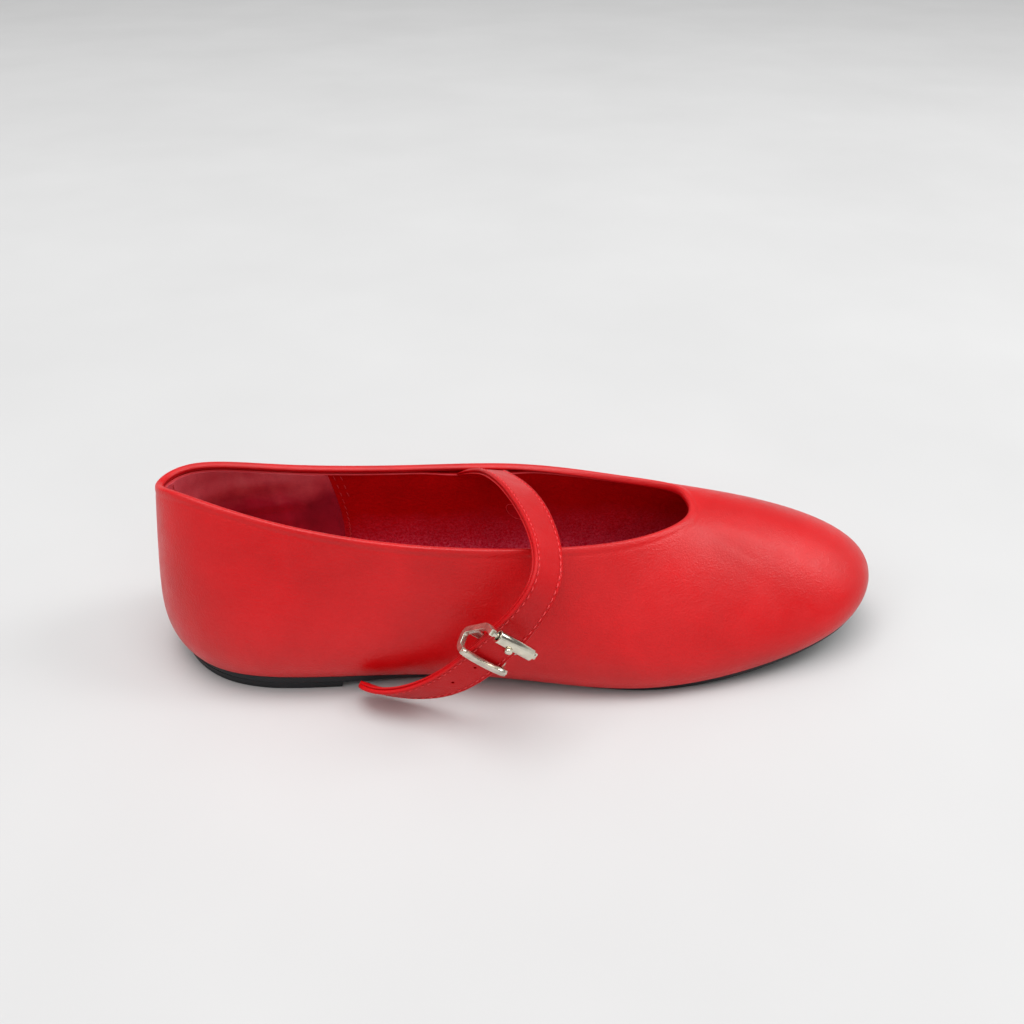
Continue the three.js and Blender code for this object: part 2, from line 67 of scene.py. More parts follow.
MM = 0.001
LENGTH = 250.0
BALL_WIDTH = 80.0
BACK_HEIGHT = 60.0
HEEL_CENTRE = 30.0  # from the back of the heel to the origin
WALL = 2.0  # shell and lining together
GAP = 0.3  # between parts that are glued or sewn together
MERGE = 1e-6  # metres between vertices that count as one
NUDGE = 1e-3  # share of a turn, a rise or a length between the two points that give a slope
CRISP = math.radians(50)  # edges sharper than this are broken by a bevel

Array = np.ndarray
Piece = bpy.types.Object
Material = bpy.types.Material
Socket = bpy.types.NodeSocket
Pair = tuple[float, float]
Tone = tuple[int, int, int]


class Slot(Enum):
    """The material slots."""

    UPPER_LEATHER = "upper_leather"
    STRAP_LEATHER = "strap_leather"
    LINING = "lining"
    SOLE = "sole"
    BUCKLE_METAL = "buckle_metal"


class Place(Enum):
    """What a pattern is laid out on."""

    OBJECT = "Object"
    UV = "UV"


class Cut(Enum):
    """How two closed pieces are combined."""

    JOIN = "UNION"
    TAKE_AWAY = "DIFFERENCE"


# ---- modelling by operators ----


def choose(*pieces: Piece) -> None:
    """Selects only these pieces, the first of them active.

    Args:
        pieces: what the next operator acts on.
    """
    if bpy.context.object is not None and bpy.context.object.mode != "OBJECT":
        bpy.ops.object.mode_set(mode="OBJECT")
    bpy.ops.object.select_all(action="DESELECT")
    for piece in pieces:
        piece.select_set(True)
    if pieces:
        bpy.context.view_layer.objects.active = pieces[0]


@contextmanager
def editing(piece: Piece) -> Iterator[None]:
    """Edit mode on one piece, with all of its mesh selected."""
    choose(piece)
    bpy.ops.object.mode_set(mode="EDIT")
    bpy.ops.mesh.select_all(action="SELECT")
    yield
    bpy.ops.object.mode_set(mode="OBJECT")


def close_up(piece: Piece) -> None:
    """Merges a shell's meeting edges and turns its faces outwards."""
    with editing(piece):
        bpy.ops.mesh.remove_doubles(threshold=MERGE)
        bpy.ops.mesh.dissolve_degenerate(threshold=MERGE / 10)
        bpy.ops.mesh.normals_make_consistent(inside=False)


def name_piece(piece: Piece, name: str) -> Piece:
    """Names an object and its mesh alike."""
    piece.name = name
    piece.data.name = name
    return piece


def points_of(piece: Piece) -> Array:
    """A mesh's vertices, one in each row, in metres."""
    flat = np.empty(3 * len(piece.data.vertices))
    piece.data.vertices.foreach_get("co", flat)
    return flat.reshape(-1, 3)


def put_points(piece: Piece, points: Array) -> None:
    """Moves a mesh's vertices to new places, in metres."""
    piece.data.vertices.foreach_set("co", points.ravel())
    piece.data.update()


def laid_grid(name: str, columns: int, rows: int, place: Callable[[Array, Array], Array]) -> Piece:
    """A grid primitive laid over a surface and closed up.

    Args:
        name: the piece's name.
        columns: faces along u.
        rows: faces along v.
        place: gives points in metres for arrays of column and row numbers.

    Returns:
        The closed piece.
    """
    choose()
    bpy.ops.mesh.primitive_grid_add(x_subdivisions=columns, y_subdivisions=rows, size=1.0)
    piece = name_piece(bpy.context.object, name)
    flat = points_of(piece)
    column = np.rint((flat[:, 0] + 0.5) * columns).astype(int)
    row = np.rint((flat[:, 1] + 0.5) * rows).astype(int)
    put_points(piece, place(column, row))
    close_up(piece)
    return piece


def finish_modifier(piece: Piece, kind: str, **settings: object) -> None:
    """Adds a modifier with its settings and applies it.

    Args:
        piece: the piece it changes.
        kind: the modifier's type.
        settings: its properties.
    """
    choose(piece)
    modifier = piece.modifiers.new(kind.title(), kind)
    for key, value in settings.items():
        setattr(modifier, key, value)
    bpy.ops.object.modifier_apply(modifier=modifier.name)


def combine(piece: Piece, other: Piece, cut: Cut) -> None:
    """Joins a closed piece with another or takes the other away, which is then gone."""
    finish_modifier(piece, "BOOLEAN", operation=cut.value, object=other, solver="EXACT")
    bpy.data.objects.remove(other)


def strung(name: str, pattern: Piece, places: Sequence[Matrix]) -> Piece:
    """One piece of many copies of a pattern, which is then gone.

    Args:
        name: the new piece's name.
        pattern: what repeats, at the origin.
        places: where each copy goes.

    Returns:
        The copies, joined.
    """
    copies = []
    for place in places:
        copy = pattern.copy()
        copy.data = pattern.data.copy()
        copy.data.transform(place)
        bpy.context.collection.objects.link(copy)
        copies.append(copy)
    bpy.data.objects.remove(pattern)
    choose(*copies)
    bpy.ops.object.join()
    return name_piece(copies[0], name)


def ready(piece: Piece, degrees: float, slot: Slot, material: Material, *nodes: str) -> None:
    """Shades and dresses a finished piece, hangs it under the root empty and hides the CAD nodes it stands
    for.

    Args:
        piece: the piece, in place.
        degrees: edges sharper than this stay crisp.
        slot: the material slot it belongs to; not used.
        material: its finish.
        nodes: the CAD nodes it stands for.
    """
    choose(piece)
    bpy.ops.object.shade_smooth_by_angle(angle=math.radians(degrees))
    piece.data.materials.clear()
    piece.data.materials.append(material)
    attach(piece, "root")
    if nodes:
        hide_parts(*nodes)
    LOG.info("%s: %d faces", piece.name, len(piece.data.polygons))


# ---- curves ----


def closed_weights(turn: Array, count: int) -> Array:
    """Weights of a closed uniform cubic spline's points, one row for each turn."""
    place = (np.asarray(turn, float) % 1.0) * count
    start = np.floor(place).astype(int)
    t = place - start
    parts = (
        (1 - t) ** 3 / 6,
        (3 * t**3 - 6 * t**2 + 4) / 6,
        (-3 * t**3 + 3 * t**2 + 3 * t + 1) / 6,
        t**3 / 6,
    )
    weights = np.zeros((len(t), count))
    for offset, part in enumerate(parts):
        np.add.at(weights, (np.arange(len(t)), (start + offset - 1) % count), part)
    return weights


def clamped_weights(share: Array, count: int) -> Array:
    """Weights of a clamped cubic spline's points, one row for each share of its length."""
    degree = 3
    spans = count - degree
    knots = np.clip((np.arange(count + degree + 1) - degree) / spans, 0, 1)
    x = np.clip(np.asarray(share, float), 0, 1 - 1e-9)
    basis = ((knots[:-1] <= x[:, None]) & (x[:, None] < knots[1:])).astype(float)
    for level in range(1, degree + 1):
        low, high = knots[:-level - 1], knots[level + 1:]
        rise, fall = knots[level:-1] - low, high - knots[1:-level]
        left = np.where(rise > 0, (x[:, None] - low) / np.where(rise > 0, rise, 1), 0)
        right = np.where(fall > 0, (high - x[:, None]) / np.where(fall > 0, fall, 1), 0)
        basis = left * basis[:, :-1] + right * basis[:, 1:]
    return basis


def unit(vectors: Array) -> Array:
    """Vectors, each a row, brought to length one."""
    return vectors / np.maximum(np.linalg.norm(vectors, axis=1, keepdims=True), 1e-12)


def smoothstep(value: Array, low: float, high: float) -> Array:
    """Zero below low, one above high, and smooth between."""
    t = np.clip((value - low) / (high - low), 0, 1)
    return t * t * (3 - 2 * t)


def hump(value: Array, middle: float, width: float) -> Array:
    """One at the middle, falling away to nothing on both sides."""
    return np.exp(-(((value - middle) / width) ** 2))


def in_frame(points: Array) -> Array:
    """Millimetres from the back of the heel, in metres from the origin."""
    return (points - np.array([HEEL_CENTRE, 0, 0])) * MM


def set_out(across: Array, along: Array, outward: Array, spot: Array) -> Matrix:
    """The place of a thing whose own axes run in three directions, at a spot in millimetres."""
    turn = Matrix((across, along, outward)).transposed().to_4x4()
    return Matrix.Translation(in_frame(spot[None])[0]) @ turn


# ---- the last ----


@dataclass(frozen=True)
class Station:
    """One section round the shoe; shares of its length, width and height, and millimetres."""

    along: float  # of the length, where the feather line lies
    across: float  # of the width
    swell: float  # millimetres that the wall stands out over the feather line
    wall: float  # millimetres from the feather line to the wall's shoulder
    crown: float  # millimetres that the upper arches over the line from there to the topline
    top_along: float
    top_across: float
    top_height: float  # of the height at the back


STATIONS = (
    Station(-0.016, 0.0, 4.5, 20, 1, 0.0, 0.0, 0.99),
    Station(0.072, -0.415, 4, 18.5, 1, 0.046, -0.175, 1.115),
    Station(0.202, -0.455, 4.5, 16, 0.5, 0.172, -0.29, 0.975),
    Station(0.372, -0.405, 6, 15, 0, 0.34, -0.365, 0.875),
    Station(0.506, -0.445, 5, 14.5, 0, 0.5, -0.34, 0.82),
    Station(0.654, -0.55, 2.5, 11.5, 1.5, 0.632, -0.265, 0.785),
    Station(0.816, -0.44, 2.5, 10.5, 2.5, 0.716, -0.125, 0.79),
    Station(0.962, -0.28, 2, 10.5, 3.5, 0.738, -0.01, 0.805),
    Station(1.012, 0.065, 2.5, 14, 3.5, 0.73, 0.085, 0.825),
    Station(0.962, 0.335, 3.5, 13.5, 3, 0.724, 0.185, 0.815),
    Station(0.822, 0.445, 3.5, 12.5, 3, 0.642, 0.3, 0.79),
    Station(0.622, 0.47, 3, 12, 1.5, 0.502, 0.395, 0.83),
    Station(0.384, 0.365, 5, 15, 0, 0.34, 0.34, 0.845),
    Station(0.204, 0.325, 5, 16, 0.5, 0.166, 0.285, 0.9),
    Station(0.072, 0.36, 4, 18.5, 0.5, 0.04, 0.19, 1.05),
)
TOE_TIP = 8 / len(STATIONS)


@dataclass
class Last:
    """The surface that the upper is drawn over, in millimetres from the back of the heel."""

    heel_seat: float = 6.2  # the feather line's height above the ground
    ball_seat: float = 2.6
    toe_spring: float = 13.0
    crown_share: float = 0.55  # of the way from the shoulder to the topline
    level_rise: float = 0.2  # rise up to which the wall's normal is eased to the level
    rings: list[Array] = field(init=False)

    def __post_init__(self) -> None:
        """Places the five control rings, from the feather line up to the topline."""
        table = np.array([list(vars(s).values()) for s in STATIONS])
        along, across, swell, wall, crown, top_along, top_across, top_height = table.T
        x, y = along * LENGTH, across * BALL_WIDTH
        feather = np.stack([x, y, self.seat_height(x)], 1)
        step = np.roll(feather, -1, 0) - np.roll(feather, 1, 0)
        out = unit(np.stack([step[:, 1], -step[:, 0], 0 * x], 1))

        def wall_ring(share: float) -> Array:
            up = np.stack([0 * x, 0 * x, wall * share], 1)
            return feather + out * swell[:, None] + up

        top = np.stack([top_along * LENGTH, top_across * BALL_WIDTH, top_height * BACK_HEIGHT], 1)
        shoulder = wall_ring(1.0)
        lift = np.stack([0 * x, 0 * x, crown], 1)
        over = shoulder + (top - shoulder) * self.crown_share + lift
        self.rings = [feather, wall_ring(1 / 3), shoulder, over, top]

    def seat_height(self, x: Array) -> Array:
        """Height of the feather line above the ground."""
        shank = smoothstep(x, 0.2 * LENGTH, 0.6 * LENGTH)
        spring = np.maximum(0, (x - 0.7 * LENGTH) / (0.3 * LENGTH))
        fall = self.ball_seat - self.heel_seat
        return self.heel_seat + fall * shank + self.toe_spring * spring**2

    def point(self, turn: Array, rise: Array) -> Array:
        """Points on the outer surface.

        Args:
            turn: share of the way round, from the heel by the outer side.
            rise: share of the way up, from the feather line to the topline.

        Returns:
            One point in each row.
        """
        columns = closed_weights(turn, len(STATIONS))
        levels = clamped_weights(rise, len(self.rings))
        return sum(levels[:, [i]] * (columns @ ring) for i, ring in enumerate(self.rings))

    def feather(self, turn: Array) -> Array:
        """Points of the feather line, where the upper meets the sole."""
        return closed_weights(turn, len(STATIONS)) @ self.rings[0]

    def plan_normal(self, turn: Array) -> Array:
        """Level directions out of the feather line."""
        along = self.feather(turn + NUDGE) - self.feather(turn - NUDGE)
        return unit(np.stack([along[:, 1], -along[:, 0], 0 * along[:, 0]], 1))

    def up(self, turn: Array, rise: Array) -> Array:
        """Directions up the wall."""
        high, low = np.minimum(1, rise + NUDGE), np.maximum(0, rise - NUDGE)
        return unit(self.point(turn, high) - self.point(turn, low))

    def normal(self, turn: Array, rise: Array) -> Array:
        """Directions out of the wall, level near the feather line."""
        around = self.point(turn + NUDGE, rise) - self.point(turn - NUDGE, rise)
        out = unit(np.cross(around, self.up(turn, rise)))
        level = 1 - smoothstep(rise, 0, self.level_rise)[:, None]
        return unit(out * (1 - level) + self.plan_normal(turn) * level)

    def rise_below(self, turn: Array, below: Array) -> Array:
        """The rise that lies some millimetres below the topline."""
        top, part = np.ones_like(turn), 0.02
        run = self.point(turn, top) - self.point(turn, top - part)
        return 1 - below / (np.linalg.norm(run, axis=1) / part)

    def outline(self, turn: Array, set_in: Array) -> Array:
        """Points of the feather line, set in on the level by some millimetres."""
        return self.feather(turn) - self.plan_normal(turn) * set_in[:, None]


# ---- finishes ----


def colour(red: int, green: int, blue: int) -> tuple[float, float, float]:
    """A display colour, 0 to 255, as linear shares."""

    def linear(value: int) -> float:
        share = value / 255
        return share / 12.92 if share <= 0.04045 else ((share + 0.055) / 1.055) ** 2.4

    return linear(red), linear(green), linear(blue)


class Recipe:
    """A material's nodes, with a line for each step."""

    def __init__(self, name: str, place: Place = Place.OBJECT, **shader: object) -> None:
        """Starts a material.

        Args:
            name: the material's name.
            place: what its patterns are laid out on.
            shader: the shader's own values, an underscore standing for a space.
        """
        self.material = bpy.data.materials.new(name)
        self.material.use_nodes = True
        self.tree = self.material.node_tree
        self.shader = self.tree.nodes["Principled BSDF"]
        self.fill(self.shader, **shader)
        self.where = self.tree.nodes.new("ShaderNodeTexCoord").outputs[place.value]

    def fill(self, node: bpy.types.Node, **inputs: object) -> None:
        """Links or sets a node's inputs, an underscore standing for a space."""
        for key, value in inputs.items():
            socket = node.inputs[key.replace("_", " ")]
            if isinstance(value, Socket):
                self.tree.links.new(value, socket)
            else:
                socket.default_value = value

    def add(self, kind: str, output: str | int = 0, **inputs: object) -> Socket:
        """A new node of a kind, with its inputs filled, and one of its outputs."""
        node = self.tree.nodes.new("ShaderNode" + kind)
        self.fill(node, **inputs)
        return node.outputs[output]

    def stretched(self, scale: tuple[float, float, float]) -> Socket:
        """The coordinates, scaled apart along each axis."""
        return self.add("Mapping", Scale=scale, Vector=self.where)

    def height(self, low: float, high: float, waver: float) -> Socket:
        """Zero below a height in metres and one above another, with a wavering border."""
        level = self.add("SeparateXYZ", "Z", Vector=self.where)
        wave = self.tree.nodes.new("ShaderNodeMath")
        wave.operation = "MULTIPLY_ADD"
        wave.inputs[1].default_value = waver
        for socket, place in ((self.noise(110, 4), 0), (level, 2)):
            self.tree.links.new(socket, wave.inputs[place])
        return self.spread(wave.outputs["Value"], low, high, 0, 1)

    def noise(self, scale: float, detail: float = 3.0, where: Socket | None = None,
              rough: float = 0.55, bend: float = 0.0) -> Socket:
        """A noise pattern.

        Args:
            scale: its cells per metre, or per UV side.
            detail: its octaves.
            where: the coordinates, the material's own if left out.
            rough: the strength of the fine octaves.
            bend: its distortion.

        Returns:
            Its factor.
        """
        return self.add("TexNoise", "Fac", Scale=scale, Detail=detail, Roughness=rough,
                        Distortion=bend, Vector=where or self.where)

    def cells(self, scale: float) -> Socket:
        """A pattern of pebbles, by the distance from each one's middle."""
        return self.add("TexVoronoi", "Distance", Scale=scale, Vector=self.where)

    def ramp(self, factor: Socket, low: float, high: float,
             first: Sequence[float], last: Sequence[float]) -> Socket:
        """Two linear colours over a factor, from low to high."""
        tint = self.add("ValToRGB", "Color", Fac=factor)
        for end, place, value in zip(tint.node.color_ramp.elements, (low, high), (first, last)):
            end.position, end.color = place, (*value, 1.0)
        return tint

    def spread(self, factor: Socket, low: float, high: float, first: float, last: float) -> Socket:
        """Two numbers over a factor, from low to high."""
        return self.add("MapRange", "Result", Value=factor, From_Min=low, From_Max=high,
                        To_Min=first, To_Max=last)

    def blend(self, factor: Socket, first: Socket, last: Socket, kind: str = "MIX") -> Socket:
        """Two colours, mixed by a factor."""
        node = self.tree.nodes.new("ShaderNodeMix")
        node.data_type = "RGBA"
        node.blend_type = kind
        self.fill(node, Factor=factor, A=first, B=last)
        return node.outputs["Result"]

    def shaded(self, base: Socket, pattern: Socket, reach: Pair, weight: Pair,
               dark: Sequence[float]) -> Socket:
        """A colour, darkened where a pattern is low.

        Args:
            base: the colour.
            pattern: what darkens it.
            reach: the pattern's values at its darkest and where it is clear.
            weight: how much of it shows at the pattern's zero and one.
            dark: the darkest tint, in linear shares.

        Returns:
            The darkened colour.
        """
        tint = self.ramp(pattern, *reach, dark, (1.0, 1.0, 1.0))
        return self.blend(self.spread(pattern, 0, 1, *weight), base, tint, "MULTIPLY")

    def relief(self, height: Socket, depth: float, **under: Socket) -> Socket:
        """A bump of some metres' depth, over the Normal of another one where that is given."""
        return self.add("Bump", Distance=depth, Height=height, **under)

    def feed(self, tone: Socket, rough: Socket, **more: Socket) -> Material:
        """Links colour, roughness and what else there is into the shader and gives the material."""
        self.fill(self.shader, Base_Color=tone, Roughness=rough, **more)
        return self.material


@dataclass(frozen=True)
class Finish:
    """What finishes share: a name, and a deep and a bright display colour."""

    name: str
    deep: Tone
    bright: Tone

    def tones(self, recipe: Recipe, factor: Socket, low: float = 0.3, high: float = 0.7) -> Socket:
        """The deep colour to the bright one over a factor."""
        return recipe.ramp(factor, low, high, colour(*self.deep), colour(*self.bright))


@dataclass(frozen=True)
class Leather(Finish):
    """Smooth dyed calf with a tight pore grain and a waxed shine."""

    deep: Tone = (194, 3, 9)
    bright: Tone = (214, 9, 17)
    shine: float = 0.36  # middle roughness
    gloss: float = 0.42  # specular level
    grain: float = 0.00007  # metres from its tops to its pores
    pores: float = 1700.0  # along a metre

    def material(self) -> Material:
        """Builds the material."""
        recipe = Recipe(self.name, Specular_IOR_Level=self.gloss)
        fine = recipe.noise(900, 3)
        base = self.tones(recipe, recipe.noise(34, 6, bend=0.5), 0.3, 0.72)
        tone = recipe.shaded(base, fine, (0.35, 0.75), (0.5, 0.6), (0.9, 0.9, 0.9))
        pebble = recipe.relief(recipe.cells(self.pores), self.grain)
        creased = recipe.relief(recipe.noise(320, 5, rough=0.65), self.grain * 1.1, Normal=pebble)
        rough = recipe.spread(recipe.noise(140, 5), 0.3, 0.7, self.shine - 0.05, self.shine + 0.09)
        return recipe.feed(tone, rough, Normal=creased)


def strap_calf(name: str) -> Material:
    """The finer calf of both straps."""
    return Leather(name, (188, 2, 9), (206, 8, 17), shine=0.39, gloss=0.24, pores=1900.0).material()


@dataclass(frozen=True)
class Quarter(Finish):
    """The lining: smooth kid above, pitted pigskin with a pale bloom low in the shoe."""

    deep: Tone = (200, 0, 2)
    bright: Tone = (212, 2, 8)
    pigskin: Tone = (214, 4, 46)
    bloom: Tone = (250, 104, 132)
    border: Pair = (0.018, 0.036)  # heights in metres

    def material(self) -> Material:
        """Builds the material."""
        recipe = Recipe(self.name, Specular_IOR_Level=0.15)
        high = recipe.height(*self.border, 0.012)
        cloud = recipe.noise(45, 5, bend=0.4)
        specks = recipe.noise(1300, 5, rough=0.8)
        low_skin = recipe.ramp(specks, 0.42, 0.72, colour(*self.pigskin), colour(*self.bloom))
        base = recipe.blend(high, low_skin, self.tones(recipe, cloud))
        tone = recipe.shaded(base, cloud, (0.25, 0.75), (0.8, 1.0), (0.82, 0.82, 0.82))
        pits = recipe.relief(recipe.cells(900), 0.00018)
        overlaid = recipe.relief(recipe.noise(240, 5), 0.00012, Normal=pits)
        return recipe.feed(tone, recipe.spread(high, 0, 1, 0.5, 0.62), Normal=overlaid)


@dataclass(frozen=True)
class Suede(Finish):
    """Napped skin, brushed in patches and paler towards its top."""

    deep: Tone = (158, 10, 40)
    bright: Tone = (222, 40, 72)
    # the paler colours it turns to above the border heights
    top_tones: tuple[Tone, Tone] = ((226, 62, 78), (250, 118, 126))
    border: Pair = (0.046, 0.056)  # heights in metres

    def material(self) -> Material:
        """Builds the material."""
        recipe = Recipe(self.name, Specular_IOR_Level=0.2, Sheen_Weight=0.35, Sheen_Roughness=0.5,
                        Sheen_Tint=(*colour(220, 120, 150), 1.0))
        brushed = recipe.noise(60, 5, recipe.stretched((1.0, 1.0, 0.5)), bend=0.6)
        fibre = recipe.noise(2600, 4, rough=0.75)
        pale = recipe.ramp(brushed, 0.3, 0.7, *(colour(*tone) for tone in self.top_tones))
        # paler above the border heights, by a height mask
        overlaid = recipe.blend(recipe.height(*self.border, 0.016), self.tones(recipe, brushed, 0.32), pale)
        tone = recipe.shaded(overlaid, fibre, (0.3, 0.75), (0.75, 0.95), (0.72, 0.72, 0.72))
        rough = recipe.spread(brushed, 0.2, 0.8, 0.82, 0.97)
        return recipe.feed(tone, rough, Normal=recipe.relief(fibre, 0.00016))


@dataclass(frozen=True)
class Sock(Finish):
    """The insole's pigskin: matt, pitted, with a pale bloom on its grain."""

    deep: Tone = (168, 4, 34)
    bright: Tone = (216, 30, 62)

    def material(self) -> Material:
        """Builds the material."""
        recipe = Recipe(self.name, Specular_IOR_Level=0.4, Coat_Weight=0.08, Coat_Roughness=0.5)
        grain = recipe.cells(950)
        base = self.tones(recipe, recipe.noise(70, 5, bend=0.5), 0.25, 0.75)
        tone = recipe.shaded(base, grain, (0.15, 0.75), (0.7, 1.0), (0.72, 0.7, 0.7))
        pits = recipe.relief(grain, 0.0002)
        overlaid = recipe.relief(recipe.noise(260, 5), 0.00025, Normal=pits)
        rough = recipe.spread(recipe.noise(300, 4), 0.3, 0.7, 0.5, 0.72)
        return recipe.feed(tone, rough, Normal=overlaid)


@dataclass(frozen=True)
class Rubber(Finish):
    """Moulded sole rubber, matt, with dust in its pores."""

    deep: Tone = (13, 14, 17)
    bright: Tone = (30, 32, 36)

    def material(self) -> Material:
        """Builds the material."""
        recipe = Recipe(self.name, Specular_IOR_Level=0.4)
        cloud = recipe.noise(90, 5)
        fine = recipe.noise(1400, 4, rough=0.7)
        dust = recipe.ramp(fine, 0.66, 0.8, colour(22, 23, 26), colour(58, 60, 62))
        tone = recipe.blend(recipe.spread(fine, 0.6, 0.8, 0, 0.35), self.tones(recipe, cloud), dust)
        rough = recipe.spread(cloud, 0.3, 0.7, 0.5, 0.68)
        return recipe.feed(tone, rough, Normal=recipe.relief(fine, 0.00012))


@dataclass(frozen=True)
class Nickel(Finish):
    """Nickel plate, cloudy and faintly buffed along its length."""

    deep: Tone = (204, 198, 182)
    bright: Tone = (232, 226, 208)
    polish: float = 0.12  # middle roughness
    plate: float = 1.0  # how much of it shines as bare metal

    def material(self) -> Material:
        """Builds the material."""
        recipe = Recipe(self.name, Metallic=self.plate)
        buffed = recipe.noise(700, 3, recipe.stretched((1.0, 9.0, 1.0)), rough=0.6)
        rough = recipe.spread(buffed, 0.3, 0.75, self.polish - 0.04, self.polish + 0.08)
        tone = self.tones(recipe, recipe.noise(420, 4))
        return recipe.feed(tone, rough, Normal=recipe.relief(buffed, 0.000012))


@dataclass(frozen=True)
class Thread(Finish):
    """Bonded polyester thread with its twist."""

    deep: Tone = (222, 36, 44)
    bright: Tone = (250, 96, 98)

    def material(self) -> Material:
        """Builds the material."""
        recipe = Recipe(self.name, Place.UV, Specular_IOR_Level=0.1)
        strands = recipe.add("TexWave", "Fac", Scale=5.0, Distortion=0.6, Vector=recipe.where)
        strands.node.bands_direction = "DIAGONAL"
        tone = self.tones(recipe, strands, 0.1)
        rough = recipe.spread(strands, 0, 1, 0.62, 0.45)
        return recipe.feed(tone, rough, Normal=recipe.relief(strands, 0.00002))


# ---- the upper ----


@dataclass(frozen=True)
class Crease:
    """A soft fold in the vamp: a line in plan, in millimetres, with its breadth and depth."""

    start: Pair
    end: Pair
    breadth: float
    depth: float

    def at(self, points: Array) -> Array:
        """How deep each point lies in the fold."""
        start, end = np.array(self.start), np.array(self.end)
        run = end - start
        plan = points[:, :2]
        share = np.clip((plan - start) @ run / (run @ run), 0, 1)
        off = np.linalg.norm(plan - start - share[:, None] * run, axis=1)
        fade = np.sin(np.pi * np.clip(share, 0.06, 0.94)) ** 0.7
        return self.depth * fade * np.exp(-((off / self.breadth) ** 2))


@dataclass
class Upper:
    """The leather shell with its rolled topline, the lining and the suede heel grip."""

    last: Last
    columns: int = 330
    collar: float = 9.0  # finely spaced below the topline
    leather: float = 1.15  # thickness of the shell
    fold: float = 1.5  # how far the rolled topline stands in
    band: float = 2.05  # turned-in edge inside the topline
    heel_drop: float = 1.9  # how far the leather runs on down over the sole's edge at the back
    strap_base: float = 0.759  # turn where the strap leaves the collar
    grip_reach: float = 0.1545  # turn to either side of the heel's back
    grip_lean: float = 0.014
    mark_at: Pair = (0.76, 0.655)
    mark_size: Pair = (3.0, 4.6)
    creases: tuple[Crease, ...] = (
        Crease((184, -10), (192, -10), 1.4, 0.14),
        Crease((190, -10), (206, -17), 1.8, 0.2),
        Crease((186, -14), (214, -26), 2.6, 0.16),
        Crease((190, -4), (216, -12), 2.2, -0.12),
        Crease((192, -20), (206, -30), 1.8, 0.1),
        Crease((187, 2), (199, 6), 1.6, 0.12),
        Crease((150, -30), (156, -44), 2.4, 0.12),
        Crease((160, -27), (168, -44), 2.6, -0.1),
        Crease((150, 34), (158, 44), 2.4, 0.14),
        Crease((14, -22), (40, -30), 3.0, 0.08),
    )

    def wall(self, turn: Array, share: Array, below: Array, depth: Array, lift: Array) -> Array:
        """Points in the wall.

        Args:
            turn: share of the way round.
            share: share of the way up to the line that lies below under the topline.
            below: millimetres under the topline.
            depth: millimetres inwards from the outer surface.
            lift: millimetres up the wall from there.

        Returns:
            One point in each row, in millimetres.
        """
        rise = np.clip(share * self.last.rise_below(turn, below), 0, 1)
        out = self.last.normal(turn, rise)
        up = self.last.up(turn, rise)
        return self.last.point(turn, rise) - out * depth[:, None] + up * lift[:, None]

    def relief(self, points: Array) -> Array:
        """How far the outer leather gives way at each point: folds and slow unevenness."""
        x, y, z = points.T
        slow = np.sin(x / 23 + 1.3) * np.sin(y / 17 + 0.4) + 0.6 * np.sin(x / 11 + z / 9) * np.sin(y / 13)
        return 0.07 * slow + sum(crease.at(points) for crease in self.creases)

    def shell_rows(self) -> Array:
        """The shell's section from the feather line over the rolled edge and down again.

        Returns:
            Rows of share, below, depth and lift.
        """
        rows = [(0.0, self.collar, self.leather - 0.2, 0.0), (0.0, self.collar, 0.5, -0.05),
                (0.0, self.collar, 0.12, 0.12)]
        rows += [(share, self.collar, 0.0, 0.0) for share in np.linspace(0.012, 1, 52)]
        for below in np.linspace(self.collar, 1.0, 17)[1:]:
            rows.append((1.0, below, 0.1 * hump(below, 2.6, 0.45) - 0.12 * hump(below, 1.0, 0.9), 0.0))
        for bend in np.linspace(0.06, 1.5, 22) * math.pi:
            across = 1.15 - (1.22 if bend < math.pi / 2 else self.fold) * math.cos(bend)
            height = (0.9 if bend < math.pi else 1.7) * math.sin(bend)
            rows.append((1.0, 1.1, across, height + 0.75))
        rows += [(1.0, self.band + 0.15, 1.2, 0.0), (1.0, self.band + 0.3, self.leather, 0.0)]
        rows += [(share, self.band + 0.3, self.leather, 0.0) for share in np.linspace(0.96, 0.0, 14)]
        rows.append(rows[0])
        return np.array(rows)

    def shell(self) -> Piece:
        """The outer leather, one closed skin."""
        rows = self.shell_rows()

        def place(column: Array, row: Array) -> Array:
            turn = column / self.columns
            share, below, depth, lift = rows[row].T
            points = self.wall(turn, share, below, depth, lift)
            at_back = 1 - smoothstep(np.minimum(turn, 1 - turn), 0.02, 0.06)
            drop = self.heel_drop * at_back * (share < 1e-3)
            points -= self.last.plan_normal(turn) * (0.35 * drop)[:, None]
            points[:, 2] -= drop
            outer = (depth < 0.5) * smoothstep(share, 0.0, 0.08) * smoothstep(below, 0.0, 2.0)
            give = self.relief(points) * outer
            return in_frame(points - self.last.normal(turn, share) * give[:, None])

        return laid_grid("upper_shell", self.columns, len(rows) - 1, place)

    def lining(self) -> Piece:
        """The inner leather, let in below the turned edge and opened for the strap."""
        edge = self.band + 0.3
        outer, inner = self.leather + 0.06, WALL + 0.1
        rows = [(share, edge, outer, 0.0) for share in np.linspace(0.02, 1, 16)]
        middle, half = (outer + inner) / 2, (inner - outer) / 2
        for bend in np.linspace(0.1, 0.9, 7) * math.pi:
            rows.append((1.0, edge, middle - half * math.cos(bend), half * math.sin(bend)))
        rows += [(share, edge, inner, 0.0) for share in np.linspace(1.0, 0.02, 46)]
        rows.append(rows[0])
        table = np.array(rows)

